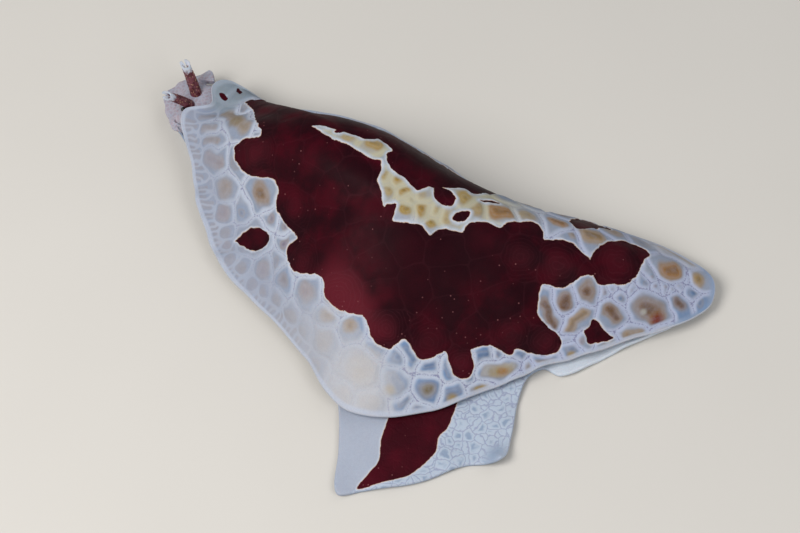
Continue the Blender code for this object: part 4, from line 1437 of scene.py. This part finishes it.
def skin_material():
    """Wet skin: pale cells, and maroon patches with a cream and white border."""
    shade = Shade("slug_skin")
    wobble = shade.math("SUBTRACT", shade.noise("wobble"), 0.5)
    depth = shade.scaled(wobble, EDGE_WOBBLE, shade.field("depth"))
    net = shade.net("net", NET_WARP)
    flesh = pale_skin(shade, wobble, net)
    edged = shade.field("edged")
    shore = shade.scaled(shade.noise("shore"), *SHORE_BREAKS)
    white = shade.times(shade.step("white", depth), shade.times(edged, shore))
    flesh = shade.mix(white, flesh, BORDER_WHITE)
    flesh = shade.layer("cream", shade.times(shade.step("cream", depth), edged), flesh, BORDER_CREAM)
    colour = shade.mix(shade.step("maroon", depth), flesh, maroon_skin(shade, wobble))
    normal = shade.bump("pimples", shade.noise("pimples", detail=3.0, roughness=0.6))
    furrow = shade.times(shade.step("furrow", net), shade.field("netting"))
    normal = shade.bump("furrow", furrow, normal)
    rough = shade.scaled(shade.noise("sheen"), *ROUGHNESS["skin"])
    return shade.finish(colour, rough, normal, flesh=0.10, gloss=0.05)


def gill_material():
    """Wet flesh in three close colours with fine speckles."""
    shade = Shade("gill_flesh")
    base, shadow, light = (paint(*colour) for colour in GILL_COLOURS)
    cloud = shade.step("gill cloud", shade.noise("gill cloud", detail=3.0))
    colour = shade.mix(cloud, base, shadow)
    colour = shade.layer("gill dots", shade.step("gill dots", shade.cells("gill dots")), colour, light)
    normal = shade.bump("gill", shade.noise("gill pimples"))
    rough = shade.scaled(shade.noise("gill sheen"), *ROUGHNESS["gill"])
    return shade.finish(colour, rough, normal, flesh=0.3, coat=0.15)


def head_material():
    """Pale flesh with a fine white net and a few maroon dots."""
    shade = Shade("head_flesh")
    cloud = shade.step("head cloud", shade.noise("head cloud", detail=3.0))
    tone = shade.mix(cloud, HEAD_GREY, HEAD_ROSE)
    net = shade.net("head net", HEAD_WARP)
    tone = shade.layer("head net", shade.step("head net", net), tone, NET_WHITE)
    dots = shade.step("head dots", shade.cells("head dots"))
    dots = shade.times(dots, shade.step("head lit", shade.noise("head lit")))
    tone = shade.layer("head dots", dots, tone, MAROON_LIGHT)
    normal = shade.bump("head", shade.step("head furrow", net))
    return shade.finish(tone, 0.36, normal, flesh=0.2, coat=0.15)


def feeler_material():
    """Maroon feelers with pale tips and speckles."""
    shade = Shade("feeler_skin")
    cloud = shade.step("feeler cloud", shade.noise("feeler cloud", detail=3.0))
    tone = shade.mix(cloud, MAROON_MID, MAROON_LIGHT)
    dots = shade.step("feeler dots", shade.cells("feeler dots"))
    tone = shade.layer("feeler dots", dots, tone, BORDER_CREAM)
    up = shade.math("SUBTRACT", shade.field("tip"), FEELER_WOBBLE / 2)
    wobble = shade.scaled(shade.noise("feeler wobble"), FEELER_WOBBLE, up)
    colour = shade.mix(shade.step("feeler tip", wobble), tone, BORDER_WHITE)
    normal = shade.bump("feeler", shade.noise("feeler pimples"))
    return shade.finish(colour, 0.38, normal, flesh=0.2, coat=0.15)


def eye_material():
    shade = Shade("eye_lens")
    colour = shade.mix(shade.noise("eye", detail=1.0), EYE_DARK, EYE_SHEEN)
    return shade.finish(colour, 0.12, coat=0.6)


def floor_material():
    shade = Shade("studio_floor")
    colour = shade.mix(shade.noise("floor"), FLOOR_GREY, FLOOR_PALE)
    return shade.finish(colour, 0.85)


def placed(piece, material, nodes):
    """Finishes a piece: its material and the solids that it stands for."""
    piece.data.materials.clear()
    piece.data.materials.append(material)
    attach(piece, "root")
    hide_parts(*nodes)
    return piece


def top_fields(skin, form, view):
    """Works out the fields of the upper side and raises its tubercles."""
    base = skin.top.reshape(-1, 3)
    surface = Surface(base, view)
    chains, looks = tubercle_cells(form, surface, skin.top)
    own, border, core = cell_fields(stirred(base, *CELL_STIR), chains)
    depth = maroon_depth(surface, stirred(base, *PATCH_STIR), base)
    haze = haze_field(surface, base)
    flesh, line = flesh_colours(surface, base, own, core, looks, depth, haze)
    # the rim is blue at the end of the tail and white elsewhere
    rho = skin.rho.ravel()
    tip = smooth_step(*TAIL_TIP, base[:, 1])
    lobe = lobe_field(surface, base)
    margin = 0.5 * smooth_step(*TAIL_MARGIN, rho) * tip
    flesh = blended(flesh, TAIL_BLUE, margin)
    line = blended(line, TAIL_BLUE, margin)
    rim = 0.75 * smooth_step(*WHITE_MARGIN, rho) * (1 - tip) * (1 - 0.7 * lobe)
    flesh = blended(flesh, LINE_WHITE, rim)
    # tubercles stand higher in the pale skin than in the maroon, and hardly at all along the front left
    strength = np.array([look[1] for look in looks])[own]
    ringed = np.array([look[1] if look[0] == "maroon" else 0.10 for look in looks])[own]
    pale = smooth_step(0.6, -0.6, depth)
    streaked = smooth_step(*STREAKS_RIM, rho)
    streaked *= smooth_step(*STREAKS_FRONT, base[:, 1]) * smooth_step(*STREAKS_LEFT, base[:, 0])
    dome = (DOME_HEIGHTS[0] + DOME_HEIGHTS[1] * pale) * smooth_step(*BORDER_RISE, border)
    dome = dome * (1 - 0.85 * streaked)
    nub = NUB_HEIGHT * pale * strength * np.exp(-((core / NUB_WIDTH) ** 2))
    skin.raise_top((dome + nub) * smooth_step(*FLAT_RIM, rho))
    # the slits of the front lobe have no white border
    slits = surface.under_pixels([corner for slit in FRONT_SPOTS_PX[:3] for corner in slit])
    from_slit = np.min([np.linalg.norm(base - place, axis=1) for place in slits], axis=0)
    contrast = np.maximum(1 - 0.85 * haze, 0.42 * streaked) * (1 - 0.7 * lobe)
    contrast *= smooth_step(*PLAIN_RIM, rho)
    return {
        "border": border * (1 + STREAKS_WIDEN * streaked),
        "core": core,
        "depth": depth,
        "ringed": ringed,
        "edged": smooth_step(*SLIT_CLEAR, from_slit),
        "netting": np.zeros(len(base)),
        "contrast": contrast,
        "grooved": contrast * (1 - 0.85 * ridge_field(base)) * (1 - streaked),
        # painted light and shade on the maroon
        "tone": painted_maroon_shading(surface, base),
        "flesh": flesh,
        "line": line,
    }


def under_fields(skin, view):
    """Works out the fields of the underside, the column, the foot with its flap, and the sole."""
    below = np.concatenate(skin.rings)
    count = len(skin.rim)
    foot = slice(skin.foot_start * count, skin.foot_end * count)
    points = below[foot]
    surface = Surface(points, view)
    depth = np.full(len(below), -DEPTH_REACH)
    depth[foot] = depth_inside(points, laid(surface, FLAP_BAND_PX))
    smooth = smooth_step(*FLAP_SMOOTH, depth_inside(points, laid(surface, FLAP_WHITE_PX)))
    from_corner = np.hypot(points[:, 0] - FLAP_CORNER[0], points[:, 1] - FLAP_CORNER[1])
    on_flap = smooth_step(*FLAP_LEFT, points[:, 0]) * smooth_step(*FLAP_LIFTED, points[:, 2])
    netting = np.zeros(len(below))
    netting[foot] = (1 - smooth) * on_flap * smooth_step(*FLAP_OFF_CORNER, from_corner)
    flesh = np.tile(UNDER_PALE, (len(below), 1))
    rings = np.repeat(np.linspace(0, 1, skin.foot_end - skin.foot_start), count)
    ribbon = blended(TAIL_BROWN, RIBBON_WHITE, smooth_step(*RIBBON_OUTER, rings))
    behind = smooth_step(*RIBBON_BEHIND, points[:, 1])
    flesh[foot] = blended(blended(FLAP_PALE, FLAP_WHITE, smooth), ribbon, behind)
    flesh[foot.stop :] = SOLE_GREY
    plain = np.zeros(len(below))
    return {
        "border": plain + 5.0,
        "core": plain + 1.0,
        "depth": depth,
        "ringed": plain,
        "edged": plain + 1.0,
        "netting": netting,
        "contrast": plain,
        "grooved": plain,
        # the maroon band of the flap gets a little of the lighter layer
        "tone": plain + 0.35,
        "flesh": flesh,
        "line": np.tile(LINE_WHITE, (len(below), 1)),
    }


def build_skin(form, view):
    """One closed skin over mantle, body, foot and tail."""
    skin = Skin(form)
    upper = top_fields(skin, form, view)
    lower = under_fields(skin, view)
    piece = new_piece("slug_skin", skin.points(), *skin.faces())
    for name, values in upper.items():
        give_field(piece, name, np.concatenate([values, lower[name], lower[name][-1:]]))
    skin.unwrap(piece)
    placed(piece, skin_material(), ("mantle", "body", "foot", "tail"))


def lofted(rings):
    """Points and quads of a tube through rings, with fans at both ends."""
    rings = np.asarray(rings, float)
    count, around = rings.shape[:2]
    points = np.concatenate([rings.reshape(-1, 3), rings[:1].mean(1), rings[-1:].mean(1)])
    index = np.arange(count * around).reshape(count, around)
    quads = np.concatenate([loop_band(index[k], index[k + 1]) for k in range(count - 1)])
    caps = (loop_fan(index.size, index[0]), loop_fan(index.size + 1, index[-1])[:, (0, 2, 1)])
    return points, quads, np.concatenate(caps)


def joined(parts):
    """Several lists of points, quads and triangles as one."""
    points, quads, triangles, start = [], [], [], 0
    for part_points, part_quads, part_triangles in parts:
        points.append(part_points)
        quads.append(np.asarray(part_quads, int).reshape(-1, 4) + start)
        triangles.append(np.asarray(part_triangles, int).reshape(-1, 3) + start)
        start += len(part_points)
    return np.concatenate(points), np.concatenate(quads), np.concatenate(triangles)


def superellipse(centre, half, y):
    """A section of the head: a rounded box at one place along it."""
    turn = full_turn(HEAD_AROUND)
    across = np.sign(np.cos(turn)) * np.abs(np.cos(turn)) ** (2 / HEAD_POWER)
    upward = np.sign(np.sin(turn)) * np.abs(np.sin(turn)) ** (2 / HEAD_POWER)
    return np.stack([centre[0] + half[0] * across, 0 * turn + y, centre[1] + half[1] * upward], -1)


def veil_middle(u, v):
    """The veil's middle surface: u across from -1 to 1, v from root to edge, its sides rolled up."""
    half = between(VEIL_HALVES, v**VEIL_WIDENING)
    beyond = np.clip(np.abs(u) - VEIL_CORNER, 0, 1) / (1 - VEIL_CORNER)
    roll = np.minimum(beyond * between(VEIL_ROLL_TURNS, v), VEIL_ROLL_MOST)
    flat = np.minimum(np.abs(u), VEIL_CORNER) * half
    side = flat + VEIL_ROLL_WIDTH * VEIL_ROLL * np.sin(roll) + between(VEIL_SIDES, v) * beyond
    lift = VEIL_ROLL * (1 - np.cos(roll))
    x = HEAD_X - VEIL_SKEW * v + np.sign(u) * side
    scallops, billows = (
        size * np.sin(u * count + phase) for size, count, phase in (VEIL_SCALLOPS, VEIL_BILLOWS)
    )
    edge = VEIL_SWEEP * np.abs(u) ** VEIL_ROUNDING - VEIL_LENGTH
    y = HEAD_FRONT + 1.0 - v + VEIL_WRAP * beyond * (1 - v) + edge * v + scallops * v**3
    z = between(VEIL_HEIGHTS, v) + lift + billows * v**2
    return np.stack([x, y, z], -1)


def veil_sheet():
    """The veil as a closed thick sheet."""
    across, along = VEIL_GRID
    u, v = np.meshgrid(np.linspace(-1, 1, across + 1), np.linspace(0, 1, along + 1))
    middle = veil_middle(u, v)
    normal = np.cross(np.gradient(middle, axis=0), np.gradient(middle, axis=1))
    normal /= np.linalg.norm(normal, axis=-1, keepdims=True)
    thick = between(VEIL_THICKNESS, v)[..., None]
    upper, lower = middle + normal * thick, middle - normal * thick
    index = np.arange(u.size).reshape(u.shape)
    rim = grid_rim(index)
    top = np.stack([index[:-1, :-1], index[1:, :-1], index[1:, 1:], index[:-1, 1:]], -1).reshape(-1, 4)
    total = u.size
    sides = loop_band(rim, rim + total)
    quads = np.concatenate([top, top[:, ::-1] + total, sides])
    return np.concatenate([upper.reshape(-1, 3), lower.reshape(-1, 3)]), quads, ()


def lips():
    """A puckered ring of lip under the veil."""
    rings = []
    across, forwards, upward = LIP_RADII
    around, section = LIP_STEPS
    for k in range(around):
        turn = 2 * math.pi * k / around
        pucker = 1 + 0.10 * math.sin(LIP_PUCKERS * turn)
        roll = full_turn(section)
        x = HEAD_X + (MOUTH_HALF[0] + across * pucker * np.cos(roll)) * math.cos(turn)
        z = MOUTH_HEIGHT + (MOUTH_HALF[1] + upward * pucker * np.cos(roll)) * math.sin(turn)
        y = HEAD_FRONT - LIP_REACH - forwards * pucker * np.sin(roll)
        rings.append(np.stack([x, y, z], -1))
    index = np.arange(around * section).reshape(around, section)
    quads = np.concatenate([loop_band(index[k], index[(k + 1) % around]) for k in range(around)])
    return np.concatenate(rings), quads, ()


def remeshed(piece, voxel, smoothing):
    """Melts a piece's closed surfaces into one and smooths it."""
    melt = piece.modifiers.new("melt", "REMESH")
    melt.mode = "VOXEL"
    melt.voxel_size = voxel * MM
    ease = piece.modifiers.new("ease", "SMOOTH")
    ease.iterations = smoothing
    ease.factor = 0.5
    seen = piece.evaluated_get(bpy.context.evaluated_depsgraph_get())
    mesh = bpy.data.meshes.new_from_object(seen)
    piece.modifiers.clear()
    piece.data = mesh
    mesh.shade_smooth()


def build_head():
    """Head, veil and lips melted into one pale skin."""
    rings = []
    for y, half, low, high in HEAD_SECTIONS:
        rings.append(superellipse((HEAD_X, (low + high) / 2), (half, (high - low) / 2), y))
    piece = new_piece("head_skin", *joined([lofted(rings), veil_sheet(), lips()]))
    remeshed(piece, HEAD_VOXEL, HEAD_SMOOTHING)
    placed(piece, head_material(), ("head", "oral_veil", "mouth"))


def build_rhinophore(name, side, material):
    """A rolled feeler with a slit down its front and fine folds round it."""
    stations, sides = RHINOPHORE_STEPS
    base_x = RHINOPHORE_BASE[0] + side * RHINOPHORE_SPACING
    facing = math.radians(side * RHINOPHORE_TURN - 90)
    share = np.linspace(0, 1, sides)
    turn = facing + RHINOPHORE_SLIT / 2 + (2 * math.pi - RHINOPHORE_SLIT) * share
    outer, inner = [], []
    for k in range(stations + 1):
        t = k / stations
        height = HEAD_TOP - RHINOPHORE_ROOT + (RHINOPHORE_LENGTH * RHINOPHORE_RISE + RHINOPHORE_ROOT) * t
        centre_x = base_x + side * RHINOPHORE_LENGTH * RHINOPHORE_SPLAY * t ** RHINOPHORE_BENDS[0]
        centre_y = RHINOPHORE_BASE[1] - RHINOPHORE_LENGTH * RHINOPHORE_LEAN * t ** RHINOPHORE_BENDS[1]
        radius = between(RHINOPHORE_RADII, t)
        folds = RHINOPHORE_FOLD_DEPTH * math.sin(2 * math.pi * RHINOPHORE_FOLDS * t)
        radius += folds * float(smooth_step(*FOLDS_RUN, t))
        radius += RHINOPHORE_FLARE * float(smooth_step(*FLARE_RUN, t))
        wall = RHINOPHORE_WALL * (1 - RHINOPHORE_THINNING * float(smooth_step(*THIN_RUN, t)))
        from_slit = (0.5 - np.abs(share - 0.5)) / SLIT_EDGE_WIDTH
        edge = 1 - SLIT_EDGE_SIZE * np.exp(-(from_slit**2))
        lift = -RHINOPHORE_SLANT * t * radius * np.sin(turn)
        for rows, reach in ((outer, radius * edge), (inner, radius * edge - wall)):
            x = centre_x + reach * np.cos(turn)
            y = centre_y + reach * np.sin(turn)
            rows.append(np.stack([x, y, height + lift], -1))
    outer, inner = np.array(outer), np.array(inner)
    rings = np.concatenate([outer, inner[:, ::-1]], axis=1)
    points, quads, _ = lofted(rings)
    points = points[:-2]
    around = 2 * sides
    caps = []
    for start, flip in ((0, False), (stations * around, True)):
        for m in range(sides - 1):
            cap = (start + m, start + around - 1 - m, start + around - 2 - m, start + m + 1)
            caps.append(cap[::-1] if flip else cap)
    piece = new_piece("feeler_" + name, points, np.concatenate([quads, np.array(caps)]))
    give_field(piece, "tip", np.repeat(np.linspace(0, 1, stations + 1), around))
    placed(piece, material, ("rhinophore_" + name,))


def build_eye(name, side, material):
    """A small dark bead whose lower half lies in the head."""
    x = RHINOPHORE_BASE[0] + side * EYE_OFFSET[0]
    rings = []
    turn = full_turn(EYE_AROUND)
    for lift in np.sin(np.linspace(-0.9, 1.45, EYE_RINGS)):
        radius = EYE_RADIUS * math.sqrt(1 - lift**2)
        z = 0 * turn + HEAD_TOP + EYE_LIFT + EYE_RADIUS * lift
        rings.append(np.stack([x + radius * np.cos(turn), EYE_OFFSET[1] + radius * np.sin(turn), z], -1))
    piece = new_piece("eye_bead_" + name, *lofted(rings))
    placed(piece, material, ("eye_" + name,))


def gill_axis(form, t):
    """The middle of the gill's stem, from 0 in front to 1 behind."""
    angle = np.linspace(math.pi * 0.5, math.pi * 1.5, 400)
    x, along = form.column(angle, 1.0 + COLUMN_FLARE)
    y = between(GILL_REACH, t)
    wall = float(np.interp(y, along[::-1], x[::-1]))
    return np.array([wall - between(GILL_OFFSET, t**1.5), y, between(GILL_HEIGHTS, t)])


def tapered_blade(root, along, across, length, size, stations=6):
    """A thin pointed blade of a width and thickness."""
    width, thickness = size
    face = np.cross(along, across)
    rings = []
    for share in np.linspace(0, 1, stations):
        wide = width * (1 - share) ** 0.6 * (0.75 + 0.5 * share) / 2 + 0.06
        thick = thickness * (1 - 0.6 * share) / 2
        middle = root + along * length * share
        rings.append([middle + step for step in (across * wide, face * thick, -across * wide, -face * thick)])
    return lofted(rings)


def build_gill(form):
    """A plume with two rows of side plumes, each with its own leaflets."""
    turn = full_turn(GILL_STEPS[1])
    circle = np.stack([np.cos(turn), 0 * turn, np.sin(turn)], -1)
    rings = []
    for t in np.linspace(0, 1, GILL_STEPS[0]):
        radius = between(GILL_RADII, t) * (1 + GILL_BEADS[0] * math.sin(t * GILL_BEADS[1]))
        rings.append(gill_axis(form, t) + radius * circle)
    parts = [lofted(rings)]
    draw = random.Random(GILL_SEED)
    for k in range(GILL_PLUMES):
        t = (k + 0.6) / (GILL_PLUMES + 0.4)
        root = gill_axis(form, t)
        size = 0.55 + 0.45 * math.sin(math.pi * min(1.0, 0.18 + t * 0.75))
        for side in (-1, 1):
            lean = PLUME_LEAN + draw.uniform(-PLUME_STRAY, PLUME_STRAY)
            along = unit(np.array([-1.0, lean, side * PLUME_SPREAD]))
            across = unit(np.cross(along, (0, 1, 0)))
            length = PLUME_LENGTH * size
            parts.append(tapered_blade(root, along, across, length, PLUME_SIZE))
            for m in range(PLUME_LEAFLETS):
                share = LEAFLET_START + LEAFLET_SPAN * m / PLUME_LEAFLETS
                stem = root + along * length * share
                reach = LEAFLET_LENGTH * size * (1 - LEAFLET_TAPER * share)
                for wing in (-1, 1):
                    out = unit(across * wing + along * LEAFLET_LEAN)
                    flat = unit(np.cross(out, np.cross(along, across)))
                    parts.append(tapered_blade(stem, out, flat, reach, LEAFLET_SIZE, stations=4))
    piece = new_piece("gill_plume", *joined(parts))
    placed(piece, gill_material(), ("gill",))


def studio():
    """A pale floor with soft lights from above."""
    corners = [(x * FLOOR_HALF, y * FLOOR_HALF, -FLOOR_DROP) for x, y in ((-1, -1), (1, -1), (1, 1), (-1, 1))]
    mesh = bpy.data.meshes.new("floor")
    mesh.from_pydata(corners, [], [(0, 1, 2, 3)])
    floor = bpy.data.objects.new("floor", mesh)
    bpy.context.scene.collection.objects.link(floor)
    mesh.materials.append(floor_material())
    world = bpy.data.worlds.new("studio_air")
    world.use_nodes = True
    background = world.node_tree.nodes["Background"]
    background.inputs["Color"].default_value = AIR_COLOUR
    background.inputs["Strength"].default_value = AIR_STRENGTH
    bpy.context.scene.world = world
    for name, place, width, power, colour in LIGHTS:
        lamp = bpy.data.lights.new(name, "AREA")
        lamp.shape = "DISK"
        lamp.size = width
        lamp.energy = power
        lamp.color = colour
        item = bpy.data.objects.new(name, lamp)
        item.location = place
        item.rotation_euler = (Vector(LIGHT_AIM) - item.location).to_track_quat("-Z", "Y").to_euler()
        bpy.context.scene.collection.objects.link(item)


def photo_camera(view):
    """The camera that gives the photograph's framing."""
    data = bpy.data.cameras.new("photo_camera")
    data.sensor_width = SENSOR_MM
    data.lens = FOCAL_PX / FRAME_PX[0] * SENSOR_MM
    data.clip_start, data.clip_end = CLIP_RANGE
    camera = bpy.data.objects.new("photo_camera", data)
    place = (view.place - (ORIGIN[0], ORIGIN[1], 0.0)) * MM
    turned = Matrix((view.right, view.up, -view.forward)).transposed().to_4x4()
    camera.matrix_world = Matrix.Translation(place) @ turned
    bpy.context.scene.collection.objects.link(camera)
    bpy.context.scene.camera = camera


def main():
    view = PhotoView()
    form = Mantle()
    photo_camera(view)
    studio()
    build_skin(form, view)
    build_head()
    feelers = feeler_material()
    for name, side in SIDES:
        build_rhinophore(name, side, feelers)
    eyes = eye_material()
    for name, side in SIDES:
        build_eye(name, side, eyes)
    build_gill(form)
    bpy.context.scene.view_settings.view_transform = "Standard"


main()
bpy.context.view_layer.update()
